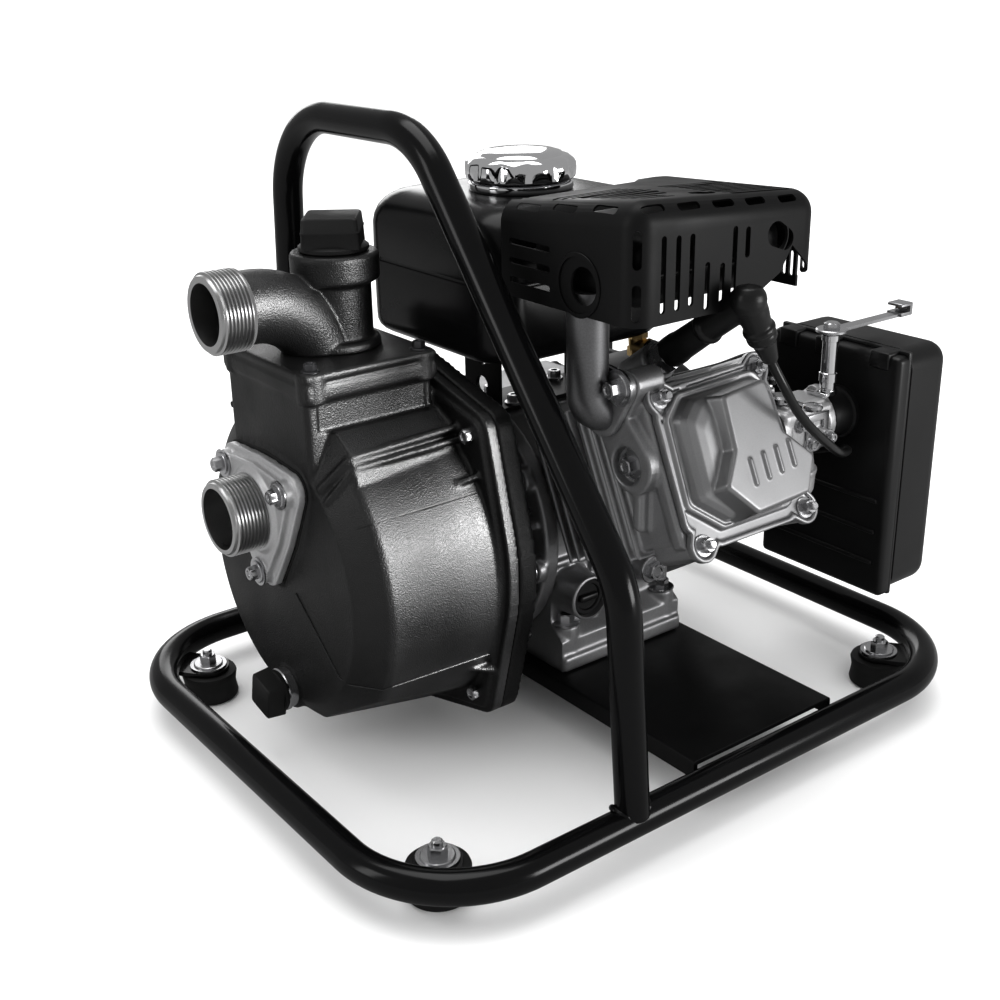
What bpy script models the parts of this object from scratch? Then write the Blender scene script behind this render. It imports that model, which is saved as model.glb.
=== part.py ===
"""Portable petrol fire pump: a 97 cc engine and a 1.5-inch self-priming pump in a tube frame.

Sizes are in millimetres and are scaled to metres where a mesh is made.
+X runs from the pump to the fan end of the engine, +Y to the far side, +Z up,
with the floor at Z = 0. Every node is one closed solid.
"""

import math

import bmesh
import bpy
from mathutils import Matrix, Vector

MM = 0.001
GAP = 0.3

# Frame of bent tube
TUBE_R = 10.0
TUBE_Z = 26.0
LOOP_X = 227.0
LOOP_Y = 184.0
LOOP_BEND = 73.0
HANDLE_X = -84.6
HANDLE_TOP = 388.5
FOOT_X = 188.0
FOOT_Y = 140.0
FOOT_R = 19.0
FOOT_TOP = 20.2
PLATE_X = (-26.0, 96.0)
PLATE_Y = 176.1
PLATE_Z = (32.6, 35.6)

# Shaft line, shared by the pump and the engine
SHAFT_Y = 44.0
SHAFT_Z = 126.0

# Pump, from its front face to the engine
CASE_FRONT = -175.0
CASE_FLANGE = (-87.0, -77.0)
BRACKET = (-76.7, -64.5)
FLANGE_R = 122.0
LOBE_R = 15.0
DRUM_R = 110.0
TOWER_Y = (-5.0, 93.0)
TOWER_TOP = 264.0
INLET_Y = 47.0
INLET_Z = 170.0
INLET_MOUTH = -212.0
THREAD_R = 23.9
BOLT_CIRCLE = 41.0
NECK_X = -124.0
NECK_Y = 41.0
NECK_R = 22.5
PIPE_R = 21.5
BEND_R = 29.0
BEND_AHEAD = 4.0
OUTLET_Z = 296.0
OUTLET_MOUTH = -210.0
COLLAR_TOP = 321.0
PLUG_TURN = math.radians(-37.0)
DRAIN_Z = 44.5

# Engine
CYL_X = 23.0
CYL_LEAN = math.radians(25.0)
BORE_R = 28.0
STROKE = 40.0
DECK = 131.7
HEAD = (132.0, 200.0)
CASE_X = (-18.0, 88.0)
CASE_TOP = 200.0
CRANK_THROW = STROKE / 2
CRANK_SWEEP = 34.0
GEAR_MODULE = 1.5
CRANK_TEETH = 18
CAM_TEETH = 36
CAM_OFFSET = GEAR_MODULE * (CRANK_TEETH + CAM_TEETH) / 2
CAM_Y = SHAFT_Y + CAM_OFFSET * math.sqrt(0.5)
CAM_Z = SHAFT_Z + CAM_OFFSET * math.sqrt(0.5)
GEAR_X = (-8.0, 2.0)
SHROUD_R = 84.0
STARTER_X = 150.3
COIL_TURN = math.radians(20.0)
LEAD_X = 122.0
ROPE_X = 165.0
ROPE_Z = 162.0

# Fuel, exhaust and air
TANK_LOW = (-63.0, -35.0, 250.0)
TANK_HIGH = (82.0, 112.0, 343.0)
TANK_CORNER = 20.0
TANK_LEVELS = (
    (250.0, 9.0), (252.5, 3.5), (258.0, 0.0), (322.0, 0.0), (332.0, 3.0), (339.0, 9.0), (343.0, 20.0),
)
TAP_Z = 240.0
CAP_X = 11.0
CAP_Y = 34.0
SHIELD_LOW = (-60.0, -152.0, 299.0)
SHIELD_HIGH = (80.0, -38.3, 365.0)
SHIELD_DROP_X = 9.0
SHIELD_DROP_Y = 13.0
PORT_Y = -105.5
PORT_Z = 196.0
PIPE_X = -45.0
BOX_LOW = (168.0, -150.0, 74.0)
BOX_HIGH = (222.0, -44.0, 243.0)
POST_X = 146.0
POST_Y = -112.0
POST_TOP = 254.0

FINISHES = {
    "black_gloss": ((0.012, 0.012, 0.013), 0.22, 0.0),
    "black_cast": ((0.02, 0.02, 0.021), 0.45, 0.3),
    "black_satin": ((0.018, 0.018, 0.019), 0.5, 0.0),
    "rubber": ((0.02, 0.02, 0.02), 0.85, 0.0),
    "aluminium": ((0.62, 0.62, 0.63), 0.45, 0.9),
    "satin_aluminium": ((0.72, 0.72, 0.73), 0.3, 1.0),
    "steel": ((0.5, 0.5, 0.52), 0.35, 1.0),
    "chrome": ((0.8, 0.8, 0.82), 0.08, 1.0),
    "iron": ((0.2, 0.2, 0.21), 0.6, 0.8),
    "brass": ((0.72, 0.55, 0.28), 0.35, 1.0),
    "foam": ((0.12, 0.12, 0.13), 0.95, 0.0),
    "fibre": ((0.16, 0.14, 0.12), 0.8, 0.0),
}


def clear_scene():
    for old in list(bpy.data.objects):
        bpy.data.objects.remove(old, do_unlink=True)


def place(axis, across, up, along):
    """A point from its two outline coordinates and its place along an axis."""
    if axis == "X":
        return Vector((along, across, up))
    if axis == "Y":
        return Vector((across, along, up))
    return Vector((across, up, along))


def shape(bm):
    """Turns a bmesh in millimetres into an object in metres."""
    bmesh.ops.recalc_face_normals(bm, faces=bm.faces)
    bmesh.ops.scale(bm, vec=(MM, MM, MM), verts=bm.verts)
    mesh = bpy.data.meshes.new("shape")
    bm.to_mesh(mesh)
    bm.free()
    made = bpy.data.objects.new("shape", mesh)
    bpy.context.collection.objects.link(made)
    return made


def block(low, high, bevel=0.0, segments=1):
    bm = bmesh.new()
    bmesh.ops.create_cube(bm, size=1.0)
    low = Vector(low)
    high = Vector(high)
    bmesh.ops.scale(bm, vec=high - low, verts=bm.verts)
    bmesh.ops.translate(bm, vec=(high + low) / 2, verts=bm.verts)
    if bevel:
        bmesh.ops.bevel(bm, geom=bm.edges[:], offset=bevel, segments=segments, profile=0.5, affect="EDGES")
    return shape(bm)


def prism(outline, axis, low, high):
    bm = bmesh.new()
    near = [bm.verts.new(place(axis, a, b, low)) for a, b in outline]
    far = [bm.verts.new(place(axis, a, b, high)) for a, b in outline]
    bm.faces.new(near)
    bm.faces.new(far)
    for i in range(len(outline)):
        j = (i + 1) % len(outline)
        bm.faces.new((near[i], near[j], far[j], far[i]))
    return shape(bm)


def loft(rings):
    """Joins rings of points, each a list of the same length, into one capped solid."""
    bm = bmesh.new()
    rows = [[bm.verts.new(point) for point in ring] for ring in rings]
    bm.faces.new(rows[0])
    bm.faces.new(rows[-1])
    for row, following in zip(rows, rows[1:]):
        for i in range(len(row)):
            j = (i + 1) % len(row)
            bm.faces.new((row[i], row[j], following[j], following[i]))
    return shape(bm)


def turned(profile, centre, direction, sides=28, hollow=False):
    """Turns (distance, radius) points about a line; a hollow profile is a closed section."""
    axis = Vector(direction).normalized()
    side = axis.orthogonal().normalized()
    other = axis.cross(side)
    centre = Vector(centre)
    bm = bmesh.new()
    rows = []
    for distance, radius in profile:
        middle = centre + axis * distance
        if radius == 0:
            rows.append([bm.verts.new(middle)] * sides)
            continue
        ring = []
        for i in range(sides):
            turn = 2 * math.pi * (i + 0.5) / sides
            ring.append(bm.verts.new(middle + (side * math.cos(turn) + other * math.sin(turn)) * radius))
        rows.append(ring)
    pairs = list(zip(rows, rows[1:]))
    if hollow:
        pairs.append((rows[-1], rows[0]))
    for row, following in pairs:
        for i in range(sides):
            j = (i + 1) % sides
            corners = []
            for vert in (row[i], row[j], following[j], following[i]):
                if vert not in corners:
                    corners.append(vert)
            if len(corners) > 2:
                bm.faces.new(corners)
    if not hollow:
        for row in (rows[0], rows[-1]):
            if row[0] is not row[1]:
                bm.faces.new(row)
    return shape(bm)


def rod(start, end, radius, sides=24, end_radius=None):
    start = Vector(start)
    end = Vector(end)
    length = (end - start).length
    last = radius if end_radius is None else end_radius
    return turned([(0, radius), (length, last)], start, end - start, sides)


def disc(x_range, radius, y=SHAFT_Y, z=SHAFT_Z, sides=24):
    """A rod along X, the direction of the shaft."""
    return rod((x_range[0], y, z), (x_range[1], y, z), radius, sides)


def ring(x_range, outer, inner, y=SHAFT_Y, z=SHAFT_Z, sides=24):
    """A ring about a line along X."""
    length = x_range[1] - x_range[0]
    profile = [(0, inner), (0, outer), (length, outer), (length, inner)]
    return turned(profile, (x_range[0], y, z), (1, 0, 0), sides, hollow=True)


def rounded(corners, radius, steps=6):
    """A closed outline with each corner rounded to an arc."""
    outline = []
    count = len(corners)
    for i in range(count):
        corner = Vector(corners[i])
        back = (Vector(corners[i - 1]) - corner).normalized()
        ahead = (Vector(corners[(i + 1) % count]) - corner).normalized()
        outline += arc_in_corner(corner, back, ahead, radius, steps)
    return [tuple(point) for point in outline]


def arc_in_corner(corner, back, ahead, radius, steps):
    """Points on the arc that touches both edges of a corner; works in 2D and 3D."""
    half = back.angle(ahead) / 2
    middle = corner + (back + ahead).normalized() * (radius / math.sin(half))
    start = corner + back * (radius / math.tan(half)) - middle
    end = corner + ahead * (radius / math.tan(half)) - middle
    sweep = start.angle(end)
    points = []
    for k in range(steps + 1):
        part = k / steps
        first = math.sin((1 - part) * sweep) / math.sin(sweep)
        second = math.sin(part * sweep) / math.sin(sweep)
        points.append(middle + start * first + end * second)
    return points


def bent_path(corners, radius, steps=8):
    """An open path through 3D corners, with arcs at the inner ones."""
    path = [Vector(corners[0])]
    for before, corner, after in zip(corners, corners[1:], corners[2:]):
        corner = Vector(corner)
        back = (Vector(before) - corner).normalized()
        ahead = (Vector(after) - corner).normalized()
        path += arc_in_corner(corner, back, ahead, radius, steps)
    path.append(Vector(corners[-1]))
    return path


def sweep(path, radius, plane_normal, closed=False, sides=16):
    """A round tube along a path that lies in one plane."""
    normal = Vector(plane_normal).normalized()
    bm = bmesh.new()
    rows = []
    count = len(path)
    for i, point in enumerate(path):
        if closed:
            tangent = path[(i + 1) % count] - path[i - 1]
        else:
            tangent = path[min(i + 1, count - 1)] - path[max(i - 1, 0)]
        across = tangent.normalized().cross(normal)
        row = []
        for k in range(sides):
            turn = 2 * math.pi * k / sides
            row.append(bm.verts.new(point + (normal * math.cos(turn) + across * math.sin(turn)) * radius))
        rows.append(row)
    pairs = list(zip(rows, rows[1:]))
    if closed:
        pairs.append((rows[-1], rows[0]))
    for row, following in pairs:
        for i in range(sides):
            j = (i + 1) % sides
            bm.faces.new((row[i], row[j], following[j], following[i]))
    if not closed:
        bm.faces.new(rows[0])
        bm.faces.new(rows[-1])
    return shape(bm)


def slot_outline(start, end, radius, steps=10):
    """The outline of a bar with round ends, between two points."""
    start = Vector(start)
    end = Vector(end)
    heading = math.atan2(end.y - start.y, end.x - start.x)
    outline = []
    for middle, offset in ((start, math.pi / 2), (end, -math.pi / 2)):
        for k in range(steps + 1):
            turn = heading + offset + math.pi * k / steps
            outline.append((middle.x + radius * math.cos(turn), middle.y + radius * math.sin(turn)))
    return outline


def combine(base, add=(), cut=()):
    """Unions and then cuts, with exact Booleans, and leaves one plain mesh."""
    for tool, operation in [(one, "UNION") for one in add] + [(one, "DIFFERENCE") for one in cut]:
        modifier = base.modifiers.new("combine", "BOOLEAN")
        modifier.operation = operation
        modifier.object = tool
        modifier.solver = "EXACT"
    graph = bpy.context.evaluated_depsgraph_get()
    mesh = bpy.data.meshes.new_from_object(base.evaluated_get(graph))
    base.modifiers.clear()
    base.data = mesh
    for tool in list(add) + list(cut):
        bpy.data.objects.remove(tool, do_unlink=True)
    return base


def node(name, made, finish, pivot=None, smooth=35.0):
    """Names a finished solid, gives it its material and puts its origin on its joint axis."""
    colour, roughness, metallic = FINISHES[finish]
    material = bpy.data.materials.new(name)
    material.use_nodes = True
    shader = material.node_tree.nodes["Principled BSDF"]
    shader.inputs["Base Color"].default_value = (*colour, 1.0)
    shader.inputs["Roughness"].default_value = roughness
    shader.inputs["Metallic"].default_value = metallic
    made.name = name
    made.data.materials.clear()
    made.data.materials.append(material)
    if made.type == "MESH":
        made.data.shade_smooth()
        made.data.set_sharp_from_angle(angle=math.radians(smooth))
    if pivot is not None:
        origin = Vector(pivot) * MM
        made.data.transform(Matrix.Translation(-origin))
        made.location = origin
    return made


def leaned(made):
    """Moves a shape from the cylinder's own axes (across, up the deck, along the bore) to the world."""
    turn = Matrix.Rotation(math.pi / 2 - CYL_LEAN, 4, "X")
    made.data.transform(Matrix.Translation(Vector((CYL_X, SHAFT_Y, SHAFT_Z)) * MM) @ turn)
    return made


def along_bore(x, deck_up, along):
    """The world place of a point in the cylinder's own axes."""
    turn = Matrix.Rotation(math.pi / 2 - CYL_LEAN, 3, "X")
    return Vector((CYL_X, SHAFT_Y, SHAFT_Z)) + turn @ Vector((x, deck_up, along))


# ---------------------------------------------------------------- frame

def build_frame():
    corners = [(-LOOP_X, -LOOP_Y), (LOOP_X, -LOOP_Y), (LOOP_X, LOOP_Y), (-LOOP_X, LOOP_Y)]
    path = [Vector((x, y, TUBE_Z)) for x, y in rounded(corners, LOOP_BEND, 8)]
    loop = sweep(path, TUBE_R, (0, 0, 1), closed=True)
    tabs = []
    for sx in (-1, 1):
        for sy in (-1, 1):
            outline = slot_outline((sx * FOOT_X, sy * FOOT_Y), (sx * (FOOT_X + 12), sy * (FOOT_Y + 15)), 14.0)
            tabs.append(prism(outline, "Z", FOOT_TOP + GAP, FOOT_TOP + GAP + 3))
    node("base_loop", combine(loop, add=tabs), "black_gloss")

    for side_x, sx in (("pump", -1), ("engine", 1)):
        for side_y, sy in (("near", -1), ("far", 1)):
            profile = [(0, FOOT_R - 2), (1.5, FOOT_R), (FOOT_TOP - 3, FOOT_R), (FOOT_TOP, FOOT_R - 4)]
            foot = turned(profile, (sx * FOOT_X, sy * FOOT_Y, 0), (0, 0, 1), 24)
            node(f"rubber_foot_{side_x}_{side_y}", foot, "rubber")

    corners = [
        (HANDLE_X, -LOOP_Y, TUBE_Z + 4),
        (HANDLE_X, -173.1, 166.2),
        (HANDLE_X, 6.7, HANDLE_TOP),
        (HANDLE_X, 161.5, HANDLE_TOP),
        (HANDLE_X, LOOP_Y, TUBE_Z + 4),
    ]
    handle = sweep(bent_path(corners, 60.0, 6), TUBE_R, (1, 0, 0))
    saddles = []
    for sy in (-1, 1):
        start = (HANDLE_X - 20, sy * LOOP_Y, TUBE_Z)
        end = (HANDLE_X + 20, sy * LOOP_Y, TUBE_Z)
        saddles.append(rod(start, end, TUBE_R + GAP, 24))
    node("handle_tube", combine(handle, cut=saddles), "black_gloss")

    lips_y = LOOP_Y - TUBE_R - 0.4
    plate = block((PLATE_X[0], -PLATE_Y, PLATE_Z[0]), (PLATE_X[1], PLATE_Y, PLATE_Z[1]))
    lips = []
    for x in (PLATE_X[0], PLATE_X[1] - 3):
        lips.append(block((x, -lips_y, PLATE_Z[0] - 9), (x + 3, lips_y, PLATE_Z[0] + 1)))
    node("base_plate", combine(plate, add=lips), "black_satin")


# ---------------------------------------------------------------- pump

def flange_lobes(x_range, radius):
    """The four bolt lobes of the casing's rear flange, at 45 degrees."""
    lobes = []
    for sy in (-1, 1):
        for sz in (-1, 1):
            y = SHAFT_Y + sy * FLANGE_R * math.sqrt(0.5)
            z = SHAFT_Z + sz * FLANGE_R * math.sqrt(0.5)
            lobes.append(disc(x_range, radius, y, z, 16))
    return lobes


def build_casing():
    drum = turned(
        [(0, 84), (4, 88), (24, 105), (30, 107), (89, DRUM_R)],
        (CASE_FRONT, SHAFT_Y, SHAFT_Z), (1, 0, 0), 40,
    )
    flange = disc(CASE_FLANGE, FLANGE_R, sides=40)
    tower = block((CASE_FRONT, TOWER_Y[0], 150), (-88, TOWER_Y[1], TOWER_TOP - 4), 5.0)
    lid = block((CASE_FRONT - 1, TOWER_Y[0] - 3, TOWER_TOP - 8), (-86, TOWER_Y[1] + 3, TOWER_TOP), 3.0)
    sump = block((-168, 2, 24), (-88, 86, 90), 8.0)
    drain_boss = disc((-176, -160), 15, z=DRAIN_Z, sides=24)
    add = [flange, tower, lid, sump, drain_boss] + flange_lobes(CASE_FLANGE, LOBE_R)
    chamber = turned(
        [(0, 70), (22, 94), (95, 98)],
        (CASE_FRONT + 10, SHAFT_Y, SHAFT_Z), (1, 0, 0), 36,
    )
    riser = block((CASE_FRONT + 10, 5, 140), (-97, 83, TOWER_TOP - 16), 4.0)
    outlet = rod((NECK_X, NECK_Y, TOWER_TOP - 20), (NECK_X, NECK_Y, TOWER_TOP + 5), 18, 40)
    inlet = disc((CASE_FRONT - 5, CASE_FRONT + 14), 26, INLET_Y, INLET_Z, 40)
    drain = disc((-180, -130), 9, z=DRAIN_Z, sides=24)
    node("pump_casing", combine(drum, add=add, cut=[chamber, riser, outlet, inlet, drain]), "black_cast")


def build_pump_inside():
    bracket = disc(BRACKET, FLANGE_R + 1, sides=40)
    neck = disc((BRACKET[1] - 1, -44.6), 52)
    seal_seat = disc((BRACKET[0] - 1, BRACKET[0] + 30), 21.8)
    socket = disc((-58, -40), 36)
    add = [neck] + flange_lobes(BRACKET, LOBE_R + 1)
    node("pump_bracket", combine(bracket, add=add, cut=[seal_seat, socket]), "black_cast")

    outer = prism(spiral(64.0), "X", -128.0, BRACKET[0] - 0.6)
    spout = block((-126, 84, 130), (-80, 106, 182))
    inner = prism(spiral(60.0), "X", -124.0, BRACKET[0] + 1)
    eye = disc((-130, -120), 20)
    passage = block((-122, 88, 120), (-84, 102, 184))
    node("volute_case", combine(outer, add=[spout], cut=[inner, eye, passage]), "iron")

    profile = [(0, 10.2), (0, 21.5), (21.5, 21.5), (21.5, 10.2)]
    node("shaft_seal", turned(profile, (-83.5, SHAFT_Y, SHAFT_Z), (1, 0, 0), 40, hollow=True), "steel")

    backplate = disc((-89, -85), 50)
    hub = turned([(0, 6), (4, 14), (22, 16)], (-107, SHAFT_Y, SHAFT_Z), (1, 0, 0), 24)
    vanes = [prism(vane_outline(2 * math.pi * k / 5), "X", -102.0, -88.0) for k in range(5)]
    bore = disc((-101, -80), 9.8, sides=24)
    node("impeller", combine(backplate, add=[hub] + vanes, cut=[bore]), "iron", (-90, SHAFT_Y, SHAFT_Z))


def spiral(base):
    """A volute outline whose radius grows by 12 mm over one turn, ending at the spout."""
    outline = []
    steps = 48
    for k in range(steps):
        part = k / steps
        turn = 2 * math.pi * part
        radius = base + 12.0 * part
        outline.append((SHAFT_Y + radius * math.cos(turn), SHAFT_Z - radius * math.sin(turn)))
    return outline


def vane_outline(start):
    """One backward-curved impeller vane, 4 mm thick, from the hub to the rim."""
    inside = []
    outside = []
    steps = 7
    for k in range(steps + 1):
        part = k / steps
        radius = 12 + 36 * part
        turn = start - 1.1 * part
        lean = 4.0 / radius
        inside.append((SHAFT_Y + radius * math.cos(turn), SHAFT_Z + radius * math.sin(turn)))
        outside.append((SHAFT_Y + radius * math.cos(turn + lean), SHAFT_Z + radius * math.sin(turn + lean)))
    return inside + outside[::-1]


def build_suction():
    plate = disc((-187, CASE_FRONT - 1.8), 36, INLET_Y, INLET_Z)
    pipe = disc((INLET_MOUTH, -186), THREAD_R, INLET_Y, INLET_Z)
    ears = []
    for k in range(3):
        turn = math.radians(-90 + 120 * k)
        y = INLET_Y + BOLT_CIRCLE * math.cos(turn)
        z = INLET_Z + BOLT_CIRCLE * math.sin(turn)
        ears.append(disc((-187, CASE_FRONT - 1.8), 11, y, z, 24))
    bore = disc((INLET_MOUTH - 1, CASE_FRONT), 19, INLET_Y, INLET_Z)
    node("suction_flange", combine(plate, add=[pipe] + ears, cut=[bore]), "aluminium")

    gasket = ring((CASE_FRONT - 1.5, CASE_FRONT - GAP), 36, 20, INLET_Y, INLET_Z)
    node("suction_gasket", gasket, "rubber")

    hinge = (CASE_FRONT + 1.8, INLET_Y, INLET_Z + 22.6)
    flap = disc((CASE_FRONT + 0.3, CASE_FRONT + 3.3), 22.5, INLET_Y, INLET_Z, 40)
    barrel = rod((hinge[0], INLET_Y - 5, hinge[2]), (hinge[0], INLET_Y + 5, hinge[2]), 1.4, 16)
    node("check_valve_flap", combine(flap, add=[barrel]), "rubber", hinge)


def build_outlet():
    base = rod((NECK_X - 2, NECK_Y, TOWER_TOP + GAP), (NECK_X - 2, NECK_Y, TOWER_TOP + 5), 27)
    neck = rod((NECK_X, NECK_Y, TOWER_TOP + 2), (NECK_X, NECK_Y, COLLAR_TOP - 6), NECK_R)
    collar = turned(
        [(0, NECK_R), (3, 26.5), (18, 26.5), (19, 25.5)],
        (NECK_X, NECK_Y, COLLAR_TOP - 19), (0, 0, 1),
    )
    corners = [
        (NECK_X - BEND_AHEAD, NECK_Y, TOWER_TOP + 3),
        (NECK_X - BEND_AHEAD, NECK_Y, OUTLET_Z),
        (OUTLET_MOUTH + 13, NECK_Y, OUTLET_Z),
    ]
    bend = sweep(bent_path(corners, BEND_R, 6), PIPE_R, (0, 1, 0), sides=24)
    fill_bore = rod((NECK_X, NECK_Y, TOWER_TOP), (NECK_X, NECK_Y, COLLAR_TOP + 2), 17)
    flow = sweep(bent_path(corners, BEND_R, 6), 17.0, (0, 1, 0), sides=20)
    mouth = disc((OUTLET_MOUTH + 10, OUTLET_MOUTH + 20), 17, NECK_Y, OUTLET_Z)
    add = [neck, collar, bend]
    node("outlet_elbow", combine(base, add=add, cut=[fill_bore, flow, mouth]), "black_cast")

    nipple = ring((OUTLET_MOUTH, OUTLET_MOUTH + 13 - GAP), THREAD_R, 18, NECK_Y, OUTLET_Z)
    sleeve = ring((OUTLET_MOUTH + 10, OUTLET_MOUTH + 21), THREAD_R, PIPE_R + GAP, NECK_Y, OUTLET_Z)
    node("outlet_nipple", combine(nipple, add=[sleeve]), "aluminium")

    plug = block((-16.5, -16.5, 2), (16.5, 16.5, 21), 2.0)
    washer = rod((0, 0, GAP), (0, 0, 4), 21)
    stem = rod((0, 0, -14), (0, 0, 2), 16.6)
    plug = combine(plug, add=[washer, stem])
    rest = Matrix.Translation(Vector((NECK_X, NECK_Y, COLLAR_TOP)) * MM)
    plug.data.transform(rest @ Matrix.Rotation(PLUG_TURN, 4, "Z"))
    node("fill_plug", plug, "rubber", (NECK_X, NECK_Y, COLLAR_TOP))

    head = block((-197, SHAFT_Y - 11, DRAIN_Z - 11), (-180, SHAFT_Y + 11, DRAIN_Z + 11), 2.0)
    rim = disc((-182, -176.3), 14, z=DRAIN_Z, sides=24)
    stem = disc((-178, -166), 8.6, z=DRAIN_Z, sides=24)
    node("drain_plug", combine(head, add=[rim, stem]), "rubber", (-176, SHAFT_Y, DRAIN_Z))


# ---------------------------------------------------------------- engine

def build_crankcase():
    outline = [
        (-42, PLATE_Z[1] + GAP), (130, PLATE_Z[1] + GAP), (130, 56), (118, 62), (118, 186),
        (104, CASE_TOP), (16, CASE_TOP), (-10, 180), (-30, 140), (-30, 68), (-42, 62),
    ]
    case = prism(outline, "X", CASE_X[0], CASE_X[1])
    barrel = leaned(rod((0, 0, 40), (0, 0, DECK), 40, 24))
    fins = []
    for k in range(5):
        along = 90 + 8.5 * k
        fins.append(leaned(block((-48, -46, along), (48, 46, along + 3))))
    filler = rod((-2, -20, 90), (-2, -50, 90), 15, 24)
    chamber = disc((CASE_X[0] - 1, 74), 52)
    gear_room = disc((CASE_X[0] - 1, 14), 31, CAM_Y, CAM_Z)
    cam_end = disc((70, 82), 6.3, CAM_Y, CAM_Z, 24)
    bearing_seat = disc((73, 85.7), 20.3, sides=24)
    shaft_hole = disc((84, 90), 10.6, sides=24)
    bore = leaned(rod((0, 0, 20), (0, 0, 140), BORE_R + 0.2))
    filler_bore = rod((-2, -51, 90), (-2, -37, 90), 9, 24)
    cut = [chamber, gear_room, cam_end, bearing_seat, shaft_hole, bore, filler_bore]
    node("crankcase", combine(case, add=[barrel] + fins + [filler], cut=cut), "aluminium")

    cover = disc((-30, CASE_X[0] - GAP), 84, sides=40)
    boss = disc((-44.3, -29), 50)
    bearing_pocket = disc((-39, CASE_X[0] + 1), 20.3, sides=24)
    shaft_hole = disc((-46, -38), 10.6, sides=24)
    cam_hole = disc((-26, CASE_X[0] + 1), 6.3, CAM_Y, CAM_Z, 24)
    node("side_cover", combine(cover, add=[boss], cut=[bearing_pocket, shaft_hole, cam_hole]), "aluminium")

    node("main_bearing_pump_side", ring((-38.7, -26.7), 20, 10.3, sides=24), "steel")
    node("main_bearing_fan_side", ring((74, 85.4), 20, 10.3, sides=24), "steel")

    plug = rod((-2, -58, 90), (-2, -50 - GAP, 90), 13, 24)
    grip = block((-12, -64, 87.5), (8, -57, 92.5), 1.0)
    stem = rod((-2, -52, 90), (-2, -39, 90), 8.5, 24)
    node("oil_filler_plug", combine(plug, add=[grip, stem]), "black_satin", (-2, -50, 90))


def gear(teeth, x_range, y, z, phase):
    """A spur gear with straight-sided teeth and room to spare between them."""
    pitch = GEAR_MODULE * teeth / 2
    outline = []
    for k in range(teeth):
        middle = phase + 2 * math.pi * k / teeth
        step = 2 * math.pi / teeth
        for offset, radius in ((-0.3, pitch - 1.9), (-0.12, pitch + 1.2), (0.12, pitch + 1.2), (0.3, pitch - 1.9)):
            turn = middle + offset * step
            outline.append((y + radius * math.cos(turn), z + radius * math.sin(turn)))
    return prism(outline, "X", x_range[0], x_range[1])


def web_outline(towards):
    """A crank web: a counterweight arc, drawn in to a nose round the crankpin."""
    outline = []
    for k in range(13):
        turn = towards + math.radians(100 + 160 * k / 12)
        outline.append((SHAFT_Y + CRANK_SWEEP * math.cos(turn), SHAFT_Z + CRANK_SWEEP * math.sin(turn)))
    pin_y = SHAFT_Y + CRANK_THROW * math.cos(towards)
    pin_z = SHAFT_Z + CRANK_THROW * math.sin(towards)
    for k in range(9):
        turn = towards + math.radians(-90 + 180 * k / 8)
        outline.append((pin_y + 12 * math.cos(turn), pin_z + 12 * math.sin(turn)))
    return outline


def build_crank_train():
    towards = math.pi - CYL_LEAN
    pin_y = SHAFT_Y + CRANK_THROW * math.cos(towards)
    pin_z = SHAFT_Z + CRANK_THROW * math.sin(towards)
    shaft = disc((-100, 7), 9.5, sides=24)
    parts = [
        disc((39, 91.9), 9.8, sides=24),
        disc((91, 128), 9, sides=24),
        prism(web_outline(towards), "X", 6.0, 15.0),
        prism(web_outline(towards), "X", 31.0, 40.0),
        disc((14, 32), 9, pin_y, pin_z, 24),
        gear(CRANK_TEETH, GEAR_X, SHAFT_Y, SHAFT_Z, math.pi / 4),
    ]
    node("crankshaft", combine(shaft, add=parts), "steel", (CYL_X, SHAFT_Y, SHAFT_Z))

    half_tooth = math.pi / CAM_TEETH
    shaft = disc((-25, 81), 6, CAM_Y, CAM_Z, 24)
    parts = [gear(CAM_TEETH, GEAR_X, CAM_Y, CAM_Z, math.pi + math.pi / 4 + half_tooth)]
    for x, turn in ((46.0, 0.4), (56.0, 2.2)):
        nose = (CAM_Y + 3 * math.cos(turn), CAM_Z + 3 * math.sin(turn))
        parts.append(prism(slot_outline((CAM_Y, CAM_Z), nose, 6.5), "X", x, x + 7))
    node("camshaft", combine(shaft, add=parts), "iron", (CYL_X, CAM_Y, CAM_Z))

    top = DECK - 4
    body = leaned(rod((0, 0, top - 36), (0, 0, top), BORE_R - 0.2))
    hollow = leaned(rod((0, 0, top - 40), (0, 0, top - 8), 22))
    pin = leaned(rod((-25, 0, 102), (25, 0, 102), 6.5, 24))
    node("piston", combine(combine(body, cut=[hollow]), add=[pin]), "aluminium", along_bore(0, 0, 102))

    eye = leaned(rod((-6, 0, 102), (6, 0, 102), 11, 24))
    shank = leaned(block((-4, -7, 78.5), (4, 7, 100)))
    hole = leaned(rod((-8, 0, 102), (8, 0, 102), 6.8, 24))
    node("con_rod", combine(eye, add=[shank], cut=[hole]), "aluminium", along_bore(0, 0, 102))

    wheel = turned(
        [(0, 22), (4, 60), (4, 66), (20, 66), (20, 30), (26, 26)],
        (92.3, SHAFT_Y, SHAFT_Z), (1, 0, 0), 32,
    )
    vanes = []
    for k in range(12):
        spin = Matrix.Rotation(2 * math.pi * k / 12, 4, "X")
        vane = block((110, -1.2, 36), (121, 1.2, 62))
        vane.data.transform(Matrix.Translation(Vector((0, SHAFT_Y, SHAFT_Z)) * MM) @ spin)
        vanes.append(vane)
    bore = disc((90, 120), 9.3, sides=24)
    node("flywheel", combine(wheel, add=vanes, cut=[bore]), "iron", (105, SHAFT_Y, SHAFT_Z))


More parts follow.
